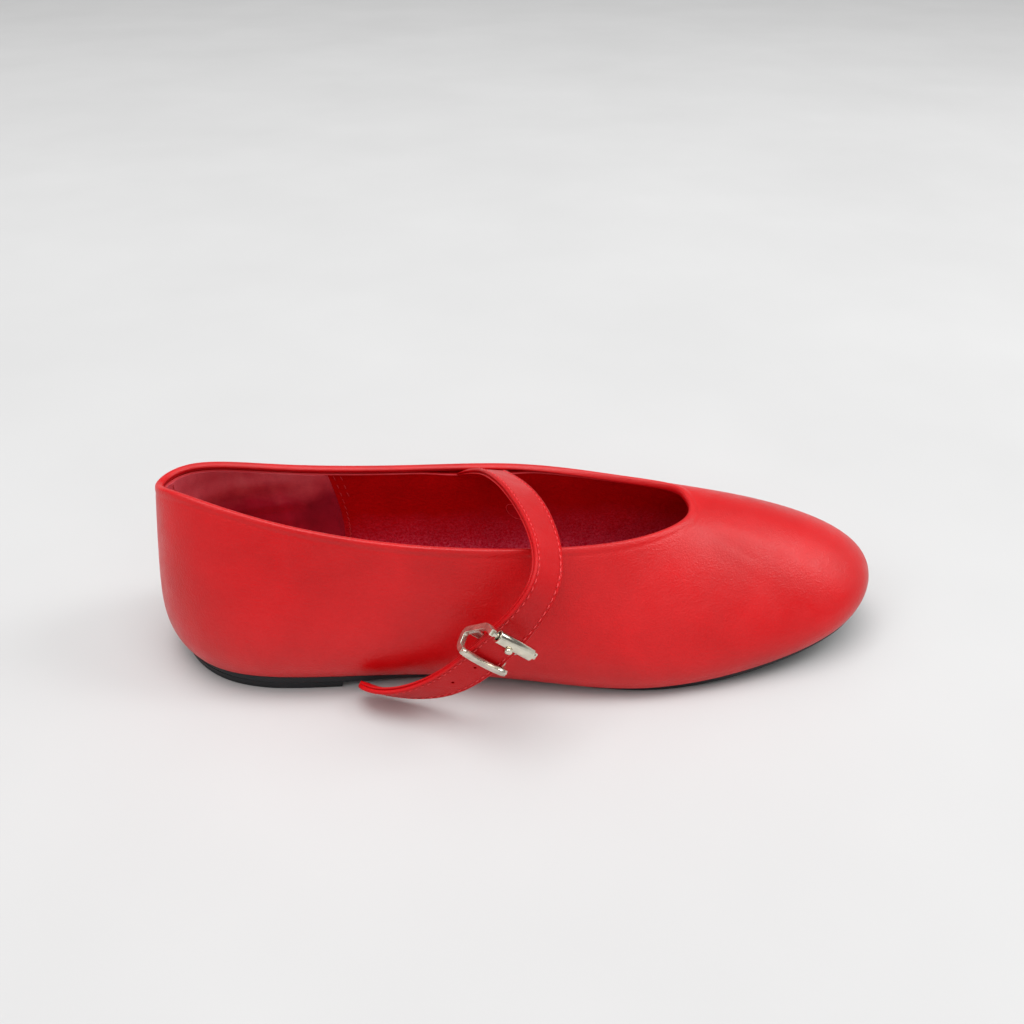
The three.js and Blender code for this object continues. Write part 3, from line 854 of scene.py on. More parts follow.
        def place(column: Array, row: Array) -> Array:
            turn = column / self.columns
            share, below, depth, lift = table[row].T
            dip = self.strap_room(turn)
            near_top = smoothstep(share, 0.8, 1.0)
            points = self.wall(turn, share, below + 1.4 * dip, depth + 0.5 * dip * near_top, lift)
            ring = np.linalg.norm(points - self.mark(), axis=1)
            x, _, z = points.T
            give = 0.16 * hump(ring, 3.2, 0.35) + 0.1 * np.sin(x / 8 + z / 5) * np.sin(x / 19)
            return in_frame(points + self.last.normal(turn, share) * (give * (depth > middle))[:, None])

        return laid_grid("upper_lining", self.columns, len(table) - 1, place)

    def strap_room(self, turn: Array) -> Array:
        """One where the strap leaves the wall, falling to zero on either side."""
        return np.exp(-(((turn - self.strap_base) / 0.028) ** 4))

    def cut_edge(self) -> Piece:
        """The cut edge along the top of the lining; its pale tone is a painted highlight."""
        radius, facets = 0.36, 8
        bend = np.linspace(0, 2 * np.pi, facets + 1)

        def place(column: Array, row: Array) -> Array:
            turn = column / self.columns
            room = self.strap_room(turn)
            below = self.band + 0.4 + 1.4 * room
            depth = WALL + 0.16 + 0.5 * room + radius * np.sin(bend[row])
            return in_frame(self.wall(turn, np.ones_like(turn), below, depth, radius * np.cos(bend[row])))

        return laid_grid("lining_cut_edge", self.columns, facets, place)

    def mark(self) -> Array:
        """Middle of the round press mark on the inner side's lining."""
        turn, rise = (np.array([value]) for value in self.mark_at)
        return (self.last.point(turn, rise) - self.last.normal(turn, rise) * (WALL + 0.1))[0]

    def press_mark(self) -> Piece:
        """The raised rim of the round press mark, lying on the lining; its pale tone is a painted
        highlight.
        """
        around, facets, rim = 48, 6, 0.13
        wide, high = self.mark_size
        turn, rise = (np.array([value]) for value in self.mark_at)
        ahead = self.last.point(turn + NUDGE, rise) - self.last.point(turn - NUDGE, rise)
        above = self.last.point(turn, rise + NUDGE) - self.last.point(turn, rise - NUDGE)
        per_turn, per_rise = (np.linalg.norm(run) / (2 * NUDGE) for run in (ahead, above))
        bend = np.linspace(0, 2 * np.pi, facets + 1)

        def place(column: Array, row: Array) -> Array:
            angle = 2 * np.pi * (column % around) / around
            swell = rim * np.cos(bend[row])
            turns = turn + (wide + swell) * np.cos(angle) / per_turn
            rises = rise + (high + swell) * np.sin(angle) / per_rise
            out = self.last.normal(turns, rises)
            depth = WALL + 0.1 + rim * np.sin(bend[row])
            return in_frame(self.last.point(turns, rises) - out * depth[:, None])

        return laid_grid("lining_press_mark", around, facets, place)

    def grip(self) -> Piece:
        """The suede heel grip: a thin closed pad, with soft folds near its front ends."""
        columns, face_rows = 150, 46
        back, front = WALL + 0.15, WALL + 0.75
        face = np.linspace(0.05, 1.0, face_rows)
        rows = [(share, back) for share in face] + [(share, front) for share in face[::-1]]
        rows.append(rows[0])
        table = np.array(rows)

        def place(column: Array, row: Array) -> Array:
            spread = 2 * column / columns - 1
            turn = spread * self.grip_reach
            share, depth = table[row].T
            end = np.sqrt(np.clip(1 - ((np.abs(spread) - 0.985) / 0.015) ** 2, 0, 1))
            taper = np.where(np.abs(spread) > 0.985, end, 1.0)
            lean = -self.grip_lean * (1 - share) * np.sign(spread)
            off = np.abs(spread)
            near_end = smoothstep(off, 0.15, 0.4) * (1 - smoothstep(off, 0.75, 0.95))
            near_end *= smoothstep(share, 0.5, 0.75) * (1 - smoothstep(share, 0.92, 1.0))
            folds = near_end * (0.2 + 0.42 * np.sin(share * 36 - off * 10)) * (depth > WALL + 0.5)
            lump = 0.35 * hump(turn, -0.026, 0.006) * (depth > WALL + 0.5)
            deep = back + (depth - back + folds * taper + lump) * taper
            points = self.wall(turn + lean, share, np.full_like(share, self.band + 0.45), deep, 0 * share)
            return in_frame(points)

        return laid_grid("heel_grip", columns, len(table) - 1, place)

    def stitch_place(self, turn: float, rise: float, depth: float, upright: bool) -> Matrix:
        """Where a stitch lies on the lining, along the wall or up it."""
        where = np.array([turn]), np.array([rise])
        out, up = self.last.normal(*where)[0], self.last.up(*where)[0]
        side = np.cross(up, out)
        across, along = (side, up) if upright else (up, side)
        return set_out(across, along, out, self.last.point(*where)[0] - out * depth)

    def grip_stitches(self) -> Piece:
        """Stitches beside both front ends of the grip and gathered ones at its back seam."""
        row, more = 13, 3
        places = []
        for side in (-1, 1):
            for i in range(row + more):
                rise = 0.95 - 0.055 * (i % row)
                beyond = 0.0035 if i < row else 0.0075
                turn = side * (self.grip_reach - self.grip_lean * (1 - rise) + beyond)
                places.append(self.stitch_place(turn, rise, WALL + 0.16, True))
        for i in range(9):
            turn = -0.026 + 0.0022 * math.sin(2.4 * i)
            places.append(self.stitch_place(turn, 0.955 - 0.022 * i, WALL + 1.05, i % 2 == 0))
        return strung("grip_stitches", stitch(1.9, 0.22), places)

    def build(self) -> None:
        """Builds and dresses the upper."""
        # The pale tone of the lining's cut edge and of the press mark's rim is a painted highlight.
        pale = Leather("lining_edge_painted_highlight", (230, 44, 54), (244, 84, 92), shine=0.45, gloss=0.3).material()
        thread = Thread("grip_thread", (190, 26, 36), (236, 84, 88)).material()
        ready(self.shell(), 60, Slot.UPPER_LEATHER, Leather("upper_calf").material(), "upper")
        ready(self.lining(), 60, Slot.LINING, Quarter("lining_quarter").material())
        ready(self.cut_edge(), 60, Slot.LINING, pale)
        ready(self.press_mark(), 60, Slot.LINING, pale)
        ready(self.grip(), 60, Slot.LINING, Suede("heel_grip_suede").material())
        ready(self.grip_stitches(), 80, Slot.LINING, thread)


def stitch(length: float, radius: float) -> Piece:
    """One stitch along Y at the origin: a thread that dips at both ends.

    Args:
        length: from hole to hole, in millimetres.
        radius: of the thread, in millimetres.

    Returns:
        The stitch, as a loose object.
    """
    choose()
    bpy.ops.mesh.primitive_cylinder_add(
        vertices=6, radius=radius * MM, depth=length * MM, end_fill_type="TRIFAN",
        rotation=(math.pi / 2, 0, 0),
    )
    piece = bpy.context.object
    bpy.ops.object.transform_apply(location=True, rotation=True, scale=True)
    with editing(piece):
        bpy.ops.mesh.subdivide(number_cuts=1)
    points = points_of(piece)
    share = np.abs(points[:, 1]) / (length * MM / 2)
    narrow, dip = 0.6, 1.1
    points[:, [0, 2]] *= np.where(share > 0.9, narrow, 1.0)[:, None]
    points[:, 2] -= dip * radius * MM * share**3
    put_points(piece, points)
    return piece


# ---- the sole ----


@dataclass
class Sole:
    """The leather-covered insole, the rubber outsole and the heel lift."""

    last: Last
    columns: int = 360
    across: int = 26
    breast: float = 63.5  # the heel's front, from the back of the heel
    thickness: float = 2.9  # of the outsole
    toe_thinning: float = 1.0
    set_in: float = 0.5  # of the outsole's top edge from the feather line
    overhang: tuple[Pair, ...] = (  # places along, and how much further the upper stands out there
        (0, 1.3), (14, 1.0), (40, 0), (70, 0), (105, 2.6), (140, 2.6), (165, 1.5), (205, 0.5), (245, 0.2),
    )

    def plate(self, name: str, rows: Sequence[Sequence[float]], height: Callable[..., Array],
              draw_in: Sequence[Pair] = ((0, 0),)) -> Piece:
        """A closed plate under the last, from lines that pair an outer with an inner point.

        Args:
            name: the piece's name.
            rows: share across, millimetres set in, share down and whether the row is underneath.
            height: gives the height from the seat, the place along and the rows' other shares.
            draw_in: places along, with millimetres more that the edge is set in there.

        Returns:
            The piece.
        """
        table = np.array([*rows, rows[0]])

        def place(column: Array, row: Array) -> Array:
            u = column / self.columns
            share, set_in, down, under = table[row].T
            set_in = set_in + np.interp(self.last.feather(u * TOE_TIP)[:, 0], *np.array(draw_in).T)
            outer = self.last.outline(u * TOE_TIP, set_in)
            inner = self.last.outline(1 - u * (1 - TOE_TIP), set_in)
            points = outer + (inner - outer) * share[:, None]
            points[:, 2] = height(points[:, 2], points[:, 0], share, down, under)
            return in_frame(points)

        return laid_grid(name, self.columns, len(table) - 1, place)

    def section(self, top_in: float, rounding: Sequence[Pair]) -> list[tuple[float, ...]]:
        """Rows round a plate: over its top, down one edge, under it and up the other edge.

        Args:
            top_in: millimetres that the top is set in.
            rounding: set-in and share of the thickness down, for each row of an edge.

        Returns:
            Rows of share across, set in, share down and whether the row is underneath.
        """
        shares = np.linspace(0, 1, self.across + 1)
        bottom_in = rounding[-1][0]
        rows = [(s, top_in, 0.0, 0.0) for s in shares]
        rows += [(1.0, set_in, down, 0.0) for set_in, down in rounding[:-1]]
        rows += [(s, bottom_in, 1.0, 1.0) for s in shares[::-1]]
        rows += [(0.0, set_in, down, 0.0) for set_in, down in rounding[-2::-1]]
        return rows

    def grooves(self, x: Array, share: Array, pitch: float) -> Array:
        """Cross grooves of the tread, in from both edges."""
        inside = smoothstep(share, 0.1, 0.16) * (1 - smoothstep(share, 0.84, 0.9))
        wave = np.cos(2 * np.pi * x / pitch)
        return inside * smoothstep(wave, 0.45, 0.8)

    def outsole(self) -> Piece:
        """The outsole: rounded lower edge, tread under the ball."""
        edge = [(0.42, 0.08), (0.36, 0.3), (0.42, 0.62), (0.62, 0.84), (0.85, 0.95), (1.15, 1.0)]
        rows = self.section(self.set_in, edge)

        def height(seat: Array, x: Array, share: Array, down: Array, under: Array) -> Array:
            top = seat - GAP
            thickness = self.thickness - self.toe_thinning * smoothstep(x, 185, 230)
            low = np.maximum(0.0, top - thickness)
            ball = smoothstep(x, 128, 134) * (1 - smoothstep(x, 222, 228))
            cut = 0.45 * under * ball * self.grooves(x, share, 3.6)
            return top + (low - top) * down + cut

        return self.plate("outsole_rubber", rows, height, self.overhang)

    def heel_lift(self) -> Piece:
        """The heel lift: tapered, cut off at its breast, with all its edges broken."""
        rows = self.section(0.9, [(0.9, 0.1), (1.0, 0.35), (1.15, 0.65), (1.3, 0.88), (1.6, 1.0)])

        def height(seat: Array, x: Array, share: Array, down: Array, under: Array) -> Array:
            top = seat - GAP - self.thickness + 0.05
            return top * (1 - down)

        lift = self.plate("heel_lift_rubber", rows, height, ((0, 0.9), (14, 0.7), (40, 0)))
        with editing(lift):
            bpy.ops.mesh.bisect(
                plane_co=((self.breast - HEEL_CENTRE) * MM, 0, 0), plane_no=(1, 0, -0.22),
                use_fill=True, clear_outer=True,
            )
        finish_modifier(lift, "BEVEL", width=0.5 * MM, segments=3, limit_method="ANGLE", angle_limit=CRISP)
        return lift

    def insole(self) -> Piece:
        """The leather-covered insole, dished, with its edge rolled up to the lining."""
        edge = [(1.9, 0.1), (1.75, 0.4), (1.75, 0.8), (1.9, 1.0)]
        rows = self.section(2.0, edge)

        def height(seat: Array, x: Array, share: Array, down: Array, under: Array) -> Array:
            rim = (2 * np.abs(share - 0.5)) ** 6
            heel_cup = 1 - smoothstep(x, 40, 90)
            pad = 2.5 + (0.35 + 0.5 * heel_cup) * rim
            pad += 0.5 * hump(x, 95, 26) * smoothstep(share, 0.4, 0.9)
            pad += 0.05 * np.sin(x / 6.5) * np.sin(share * 9 + x / 13)
            return seat + pad * (1 - down)

        return self.plate("insole_sock", rows, height)

    def build(self) -> None:
        """Builds and dresses the sole."""
        rubber = Rubber("sole_rubber").material()
        ready(self.outsole(), 40, Slot.SOLE, rubber, "outsole")
        ready(self.heel_lift(), 40, Slot.SOLE, rubber, "heel_lift")
        ready(self.insole(), 60, Slot.LINING, Sock("insole_pigskin").material(), "insole")


# ---- the straps ----


@dataclass
class Ribbon:
    """A strip's route: its outer face's middle and its direction across, in millimetres."""

    route: Sequence[tuple[float, ...]]

    def frames(self, share: Array) -> tuple[Array, Array, Array, Array]:
        """Centre, across, along and outward at shares of the strip's length."""
        rows = np.array(self.route, float)

        def at(place: Array) -> Array:
            return clamped_weights(place, len(rows)) @ rows

        here = at(share)
        run = at(np.minimum(1, share + NUDGE)) - at(np.maximum(0, share - NUDGE))
        along = unit(run[:, :3])
        across = here[:, 3:]
        across = unit(across - along * np.sum(across * along, axis=1, keepdims=True))
        return here[:, :3], across, along, np.cross(across, along)

    def laid(self, share: Array, side: Array, deep: Array, ahead: Array | float = 0.0) -> Array:
        """Points by the route.

        Args:
            share: share of the strip's length.
            side: millimetres across from its middle.
            deep: millimetres in from its outer face.
            ahead: millimetres further along.

        Returns:
            One point in each row, in millimetres.
        """
        centre, across, along, outward = self.frames(share)
        columns = (np.broadcast_to(value, share.shape)[:, None] for value in (side, deep, ahead))
        right, inwards, on = columns
        return centre + across * right - outward * inwards + along * on

    def run(self, shares: Array) -> Array:
        """Millimetres along the route up to each of these shares."""
        steps = np.diff(self.frames(shares)[0], axis=0)
        return np.concatenate([[0.0], np.cumsum(np.linalg.norm(steps, axis=1))])

    def length(self) -> float:
        """Millimetres along the whole route."""
        return float(self.run(np.linspace(0, 1, 400))[-1])

    def evenly(self, count: int) -> Array:
        """Shares at even distances along the route."""
        fine = np.linspace(0, 1, 800)
        run = self.run(fine)
        return np.interp(np.linspace(0, run[-1], count), run, fine)


def layered_section(half: float, thickness: float, outer: float, channel: float) -> Array:
    """Half a strip's section, a turned-edge face over a lining, from the face's middle round to the back.

    Args:
        half: half its width.
        thickness: of both layers.
        outer: thickness of the face layer at its turned edge.
        channel: how far in from the edge the stitches lie.

    Returns:
        Rows of place across and depth, in millimetres.
    """
    points = [(half * s, 0.05 * s * s) for s in (0.0, 0.2, 0.4, 0.6)]
    for off in (-0.7, -0.35, -0.12, 0.12, 0.35, 0.6):
        points.append((half - channel + off, 0.02 + 0.24 * hump(off, 0, 0.28)))
    radius = outer / 2
    for bend in np.linspace(0, 1, 9) * math.pi:
        side = half - radius + radius * math.sin(bend)
        points.append((side, radius - radius * math.cos(bend) - 0.14 * math.cos(bend / 2) ** 2))
    points.append((half - 0.75, outer + 0.05))
    under = (thickness - outer - 0.06) / 2
    for bend in np.linspace(0.1, 1, 6) * math.pi:
        side = half - 0.16 - under + under * math.sin(bend)
        points.append((side, outer + 0.06 + under - under * math.cos(bend)))
    points += [(half * s, thickness) for s in (0.7, 0.45, 0.2)]
    return np.array(points)


def whole_section(half_section: Array) -> Array:
    """Both sides of a section, closed."""
    other = half_section[:0:-1] * np.array([-1.0, 1.0])
    return np.vstack([half_section, other, half_section[:1]])


@dataclass
class Strap:
    """The instep strap: a turned-edge strip with two stitch rows, holes and a narrow tip."""

    upper: Upper
    width: float = 12.0
    thickness: float = 2.2
    tuck: float = 0.085  # share of its length over which it comes out of the wall
    tip_length: float = 11.0
    tip_width: float = 3.0
    steps: int = 420
    stitch_pitch: float = 2.5
    channel: float = 1.35
    holes: tuple[float, ...] = (0.746, 0.806)
    hole_radius: float = 0.52
    ribbon: Ribbon = field(default_factory=lambda: Ribbon((
        (112, 28, 49, -0.95, -0.3, 0.1),
        (114.5, 21.5, 52.5, -0.95, -0.25, 0.25),
        (120, 7.5, 58.5, -0.85, -0.2, 0.4),
        (128, -14, 61, -0.95, -0.3, 0.3),
        (134, -41, 57.5, -0.75, -0.15, 0.65),
        (129.5, -55, 48.5, -0.6, -0.45, 0.75),
        (112, -54.5, 27.5, -0.9, 0.15, 0.55),
        (96.5, -49.5, 9, -0.55, -0.3, 0.9),
        (78, -46, 5.5, -0.2, -0.8, 0.65),
        (71, -41.5, 6.5, -0.3, -0.65, 0.7),
    )))

    def width_at(self, share: Array) -> Array:
        """The width, narrowing round to the tip."""
        left = (1 - share) * self.ribbon.length()
        rounding = np.sqrt(np.clip(1 - (1 - np.minimum(1, left / self.tip_length)) ** 2, 0, 1))
        return self.tip_width + (self.width - self.tip_width) * rounding

    def strip(self) -> Piece:
        """The strap itself, with rounded ends and its holes cut through."""
        section = whole_section(layered_section(self.width / 2, self.thickness, 1.35, self.channel))
        ends = 4
        shares = np.concatenate([[0.0], np.linspace(0, 1, self.steps - ends), np.ones(ends)])
        thin = np.concatenate([[0.0], np.ones(self.steps - ends), [0.93, 0.75, 0.42, 0.0]])
        reach = np.concatenate([np.zeros(self.steps - ends + 1), [0.35, 0.65, 0.88, 0.95]])

        def place(column: Array, row: Array) -> Array:
            share = shares[column]
            side = section[row, 0] * self.width_at(share) / self.width * thin[column]
            middle = self.thickness / 2
            deep = middle + (section[row, 1] - middle) * thin[column]
            points = self.ribbon.laid(share, side, deep, reach[column])
            free = smoothstep(share, 0, self.tuck)[:, None]
            inside = self.in_wall(share, side, deep)
            return in_frame(inside * (1 - free) + points * free)

        strap = laid_grid("strap_leather_strip", self.steps, len(section) - 1, place)
        for share in self.holes:
            cutter = punch(self.ribbon, share, self.hole_radius, self.thickness)
            combine(strap, cutter, Cut.TAKE_AWAY)
        return strap

    def in_wall(self, share: Array, side: Array, deep: Array) -> Array:
        """Where the strap's base lies between the shell and the lining, skived and spread."""
        out = np.clip(share / self.tuck, 0, 1)
        turn = self.upper.strap_base + side * 0.0029
        depth = 1.25 + 0.9 * out + deep * (0.3 + 0.7 * out)
        return self.upper.wall(turn, np.ones_like(share), 6.0 - 4.6 * out, depth, 0 * share)

    def stitches(self) -> Piece:
        """Two rows of stitches, one down each edge."""
        count = int(self.ribbon.length() / self.stitch_pitch)
        shares = self.ribbon.evenly(count)[4:-3]
        frames = self.ribbon.frames(shares)[1:]
        places = []
        for side in (-1, 1):
            spots = self.ribbon.laid(shares, side * (self.width_at(shares) / 2 - self.channel), -0.05)
            places += [set_out(*directions, spot) for *directions, spot in zip(*frames, spots)]
        return strung("strap_stitches", stitch(self.stitch_pitch * 0.66, 0.23), places)

    def build(self) -> None:
        """Builds and dresses the strap."""
        ready(self.strip(), 50, Slot.STRAP_LEATHER, strap_calf("strap_calf"), "strap")
        ready(self.stitches(), 80, Slot.STRAP_LEATHER, Thread("strap_thread").material())


def punch(ribbon: Ribbon, share: float, radius: float, thickness: float) -> Piece:
    """A round cutter through a strip."""
    choose()
    bpy.ops.mesh.primitive_cylinder_add(vertices=24, radius=radius * MM, depth=3 * thickness * MM)
    cutter = bpy.context.object
    centre, across, along, outward = (value[0] for value in ribbon.frames(np.array([share])))
    cutter.data.transform(set_out(across, along, outward, centre - outward * thickness / 2))
    return cutter


# ---- the buckle ----


@dataclass
class Buckle:
    """A roller buckle, in its own frame: x across the strap, y to its tip, z outwards."""

    strap: Strap
    at: float = 0.672  # share of the strap's length where its middle lies
    tilt: float = -5.0
    aside: float = 0.8
    rail_middle: float = 8.05  # from the middle of the strap to the middle of a rail
    rail_line: tuple[Pair, ...] = ((-6.2, 5.0), (-4.2, 0.7), (7.0, -5.6), (9.8, -1.2), (8.1, 2.1))
    rail_half: Pair = (1.05, 0.85)  # half its width and half its thickness
    end_bar: Pair = (8.1, 2.1)
    end_half: Pair = (1.3, 0.7)
    end_bow: float = 0.7
    centre_bar: Pair = (5.4, -4.9)
    centre_radius: float = 1.1
    roller: Pair = (-6.2, 5.0)
    axle_radius: float = 0.8
    bore: float = 1.4  # inner radius of the roller
    roller_radius: float = 2.1
    roller_length: float = 13.0
    roller_aside: float = -0.4
    seam_turn: float = 120.0  # degrees round the axle to the roller's seam
    prong_line: tuple[Pair, ...] = (
        (4.2, -4.7), (1.8, -4.3), (-0.2, -2.8), (-1.4, 0.0), (-2.6, 4.0), (-3.9, 7.0), (-6.2, 8.0),
    )
    prong_half: Pair = (0.78, 0.72)
    prong_aside: float = 1.5  # how far its tip lies off the middle

    def matrix(self) -> Matrix:
        """The buckle's place in the row frame; its own frame is in millimetres."""
        centre, across, along, outward = (v[0] for v in self.strap.ribbon.frames(np.array([self.at])))
        tilt = Matrix.Rotation(math.radians(self.tilt), 3, Vector(across))
        axes = Vector(across), tilt @ Vector(along), tilt @ Vector(outward)
        return set_out(*axes, centre + across * self.aside) @ Matrix.Scale(MM, 4)

    def swept(self, name: str, line: Array, sides: Array, wide: Array, thick: Array,
              square: float = 4.0, facets: int = 28) -> Piece:
        """A rounded bar along a line.

        Args:
            name: the piece's name.
            line: the bar's middle, one point in each row.
            sides: the direction of its width at each point.
            wide: half its width at each point.
            thick: half its thickness at each point.
            square: how square its section is, 2 for round.
            facets: round the section.

        Returns:
            The closed bar, in the buckle's frame.
        """
        line, sides = np.asarray(line, float), np.asarray(sides, float)
        run = unit(np.gradient(line, axis=0))
        sides = unit(sides - run * np.sum(sides * run, axis=1, keepdims=True))
        other = np.cross(run, sides)
        x, y = squared_ring(facets, square)
        order = np.concatenate([[0], np.arange(len(line)), [len(line) - 1]])
        full = np.concatenate([[0.0], np.ones(len(line)), [0.0]])

        def place(column: Array, row: Array) -> Array:
            i = order[column]
            across = sides[i] * (x[row] * wide[i] * full[column])[:, None]
            through = other[i] * (y[row] * thick[i] * full[column])[:, None]
            return line[i] + across + through

        return laid_grid(name, len(order) - 1, facets, place)

    def rail(self, side: int) -> Piece:
        """One side of the frame, a flat bar bent along the rail line."""
        points = rounded_line(np.array(self.rail_line), 2.6, 9)
        x = np.full(len(points), side * self.rail_middle)
        line = np.column_stack([x, points])
        run = unit(np.gradient(points, axis=0))
        sides = np.column_stack([0 * x, -run[:, 1], run[:, 0]])
        wide, thick = (np.full(len(line), half) for half in self.rail_half)
        return self.swept("rail", line, sides, wide, thick, 8)

    def frame_piece(self) -> Piece:
        """Rails, bowed end bar, centre bar and roller axle, as one casting."""
        whole = self.rail(1)
        combine(whole, self.rail(-1), Cut.JOIN)
        x = np.linspace(-1, 1, 25)
        bow = self.end_bow * (1 - x**2)
        reach = self.rail_middle + 0.7
        line = np.column_stack([x * reach, self.end_bar[0] + bow, self.end_bar[1] - 0.25 * bow])
        sides = np.tile([0.0, 0.95, -0.3], (len(x), 1))
        ends = 1 - 0.3 * np.abs(x) ** 14
        wide, thick = (half * ends for half in self.end_half)
        combine(whole, self.swept("end", line, sides, wide, thick, 12), Cut.JOIN)
        for (y, z), radius in ((self.centre_bar, self.centre_radius), (self.roller, self.axle_radius)):
            line = np.column_stack([x * self.rail_middle, 0 * x + y, 0 * x + z])
            sides = np.tile([0.0, 1.0, 0.0], (len(x), 1))
            thick = np.full(len(x), radius)
            combine(whole, self.swept("rod", line, sides, thick, thick, 2), Cut.JOIN)
        return name_piece(whole, "buckle_casting")

    def tube(self) -> Piece:
        """The roller: sheet rolled round the axle, with its seam left open."""
        choose()
        y, z = self.roller
        bpy.ops.mesh.primitive_plane_add(size=1.0)
        piece = name_piece(bpy.context.object, "buckle_roller_tube")
        half = self.roller_length / 2
        corners = [(x, r) for r in (self.bore, self.roller_radius) for x in (-half, half)]
        for vertex, (x, r) in zip(piece.data.vertices, corners):
            vertex.co = (x + self.roller_aside, y, z + r)
        with editing(piece):
            bpy.ops.transform.rotate(
                value=math.radians(self.seam_turn), orient_axis="X", orient_type="GLOBAL",
                center_override=(0, y, z),
            )
            bpy.ops.mesh.subdivide(number_cuts=1)
            bpy.ops.mesh.spin(steps=64, angle=math.radians(350), center=(0, y, z), axis=(1, 0, 0))
        close_up(piece)
        finish_modifier(piece, "BEVEL", width=0.14, segments=3, limit_method="ANGLE", angle_limit=CRISP)
        return piece

    def prong(self) -> Piece:
        """The prong: an eye round the centre bar, a bent rod and a flattened tip."""
        points = rounded_line(np.array(self.prong_line), 1.1, 7)
        ahead = unit(points[-1:] - points[-2:-1])
        points = np.vstack([points[:-1], points[-1] - ahead * np.linspace(1.5, 0, 9)[:, None]])
        count = len(points)
        line = np.column_stack([self.prong_aside * np.linspace(0, 1, count) ** 2, points])
        left = np.linalg.norm(points - points[-1], axis=1)
        tip = np.sqrt(np.clip(1 - (1 - np.minimum(1, left / 1.1)) ** 2, 0.02, 1))
        spread = 1 + 0.6 * hump(left, 1.1, 1.1)
        sides = np.tile([1.0, 0.0, 0.0], (count, 1))
        wide, thick = (half * tip for half in self.prong_half)
        rod = self.swept("rod", line, sides, wide * spread, thick * (0.6 + 0.4 * spread), 2.3)
        combine(rod, self.ring("eye", 1.9, self.centre_radius + 0.2, self.centre_radius + 1.15), Cut.JOIN)
        return name_piece(rod, "buckle_prong_pin")

    def ring(self, name: str, width: float, inner: float, outer: float) -> Piece:
        """A rounded ring round the centre bar."""
        y, z = self.centre_bar
        half, thick = width / 2, (outer - inner) / 2
        middle = (inner + outer) / 2
        around, facets = 40, 24
        x, r = squared_ring(facets, 4)
        x, r = x * half, r * thick + middle

        def place(column: Array, row: Array) -> Array:
            turn = 2 * np.pi * (column % around) / around
            return np.column_stack([x[row], y + r[row] * np.cos(turn), z + r[row] * np.sin(turn)])

        return laid_grid(name, around, facets, place)

    def build(self) -> None:
        """Builds and dresses the buckle."""
        polished = Nickel("polished_nickel").material()
        cast = Nickel("cast_nickel", (184, 178, 164), (236, 230, 214), 0.15, 0.86).material()
        to_place = self.matrix()
        for make, node, nickel in ((self.frame_piece, "buckle_frame", cast),
                                   (self.tube, "buckle_roller", polished),
                                   (self.prong, "buckle_prong", polished)):
            piece = make()
            piece.data.transform(to_place)
            ready(piece, 32, Slot.BUCKLE_METAL, nickel, node)


def squared_ring(facets: int, square: float) -> tuple[Array, Array]:
    """A closed section one across each way, round where square is 2 and boxier above that."""
    bend = np.linspace(0, 2 * np.pi, facets + 1)
    x, y = (np.sign(side) * np.abs(side) ** (2 / square) for side in (np.cos(bend), np.sin(bend)))
    return x, y


def rounded_line(points: Array, radius: float, steps: int) -> Array:
    """A bent line with its corners rounded.

    Args:
        points: the line's corners, one in each row.
        radius: how far from a corner the rounding starts.
        steps: points in each rounding.

    Returns:
        The line's points.
    """
    result = [points[0]]
    for before, corner, after in zip(points, points[1:], points[2:]):
        back, on = before - corner, after - corner
        reach = min(radius, 0.45 * np.linalg.norm(back), 0.45 * np.linalg.norm(on))
        start = corner + back / np.linalg.norm(back) * reach
        end = corner + on / np.linalg.norm(on) * reach
        for t in np.linspace(0, 1, steps):
            result.append((1 - t) ** 2 * start + 2 * t * (1 - t) * corner + t**2 * end)
    result.append(points[-1])
    return np.array(result)


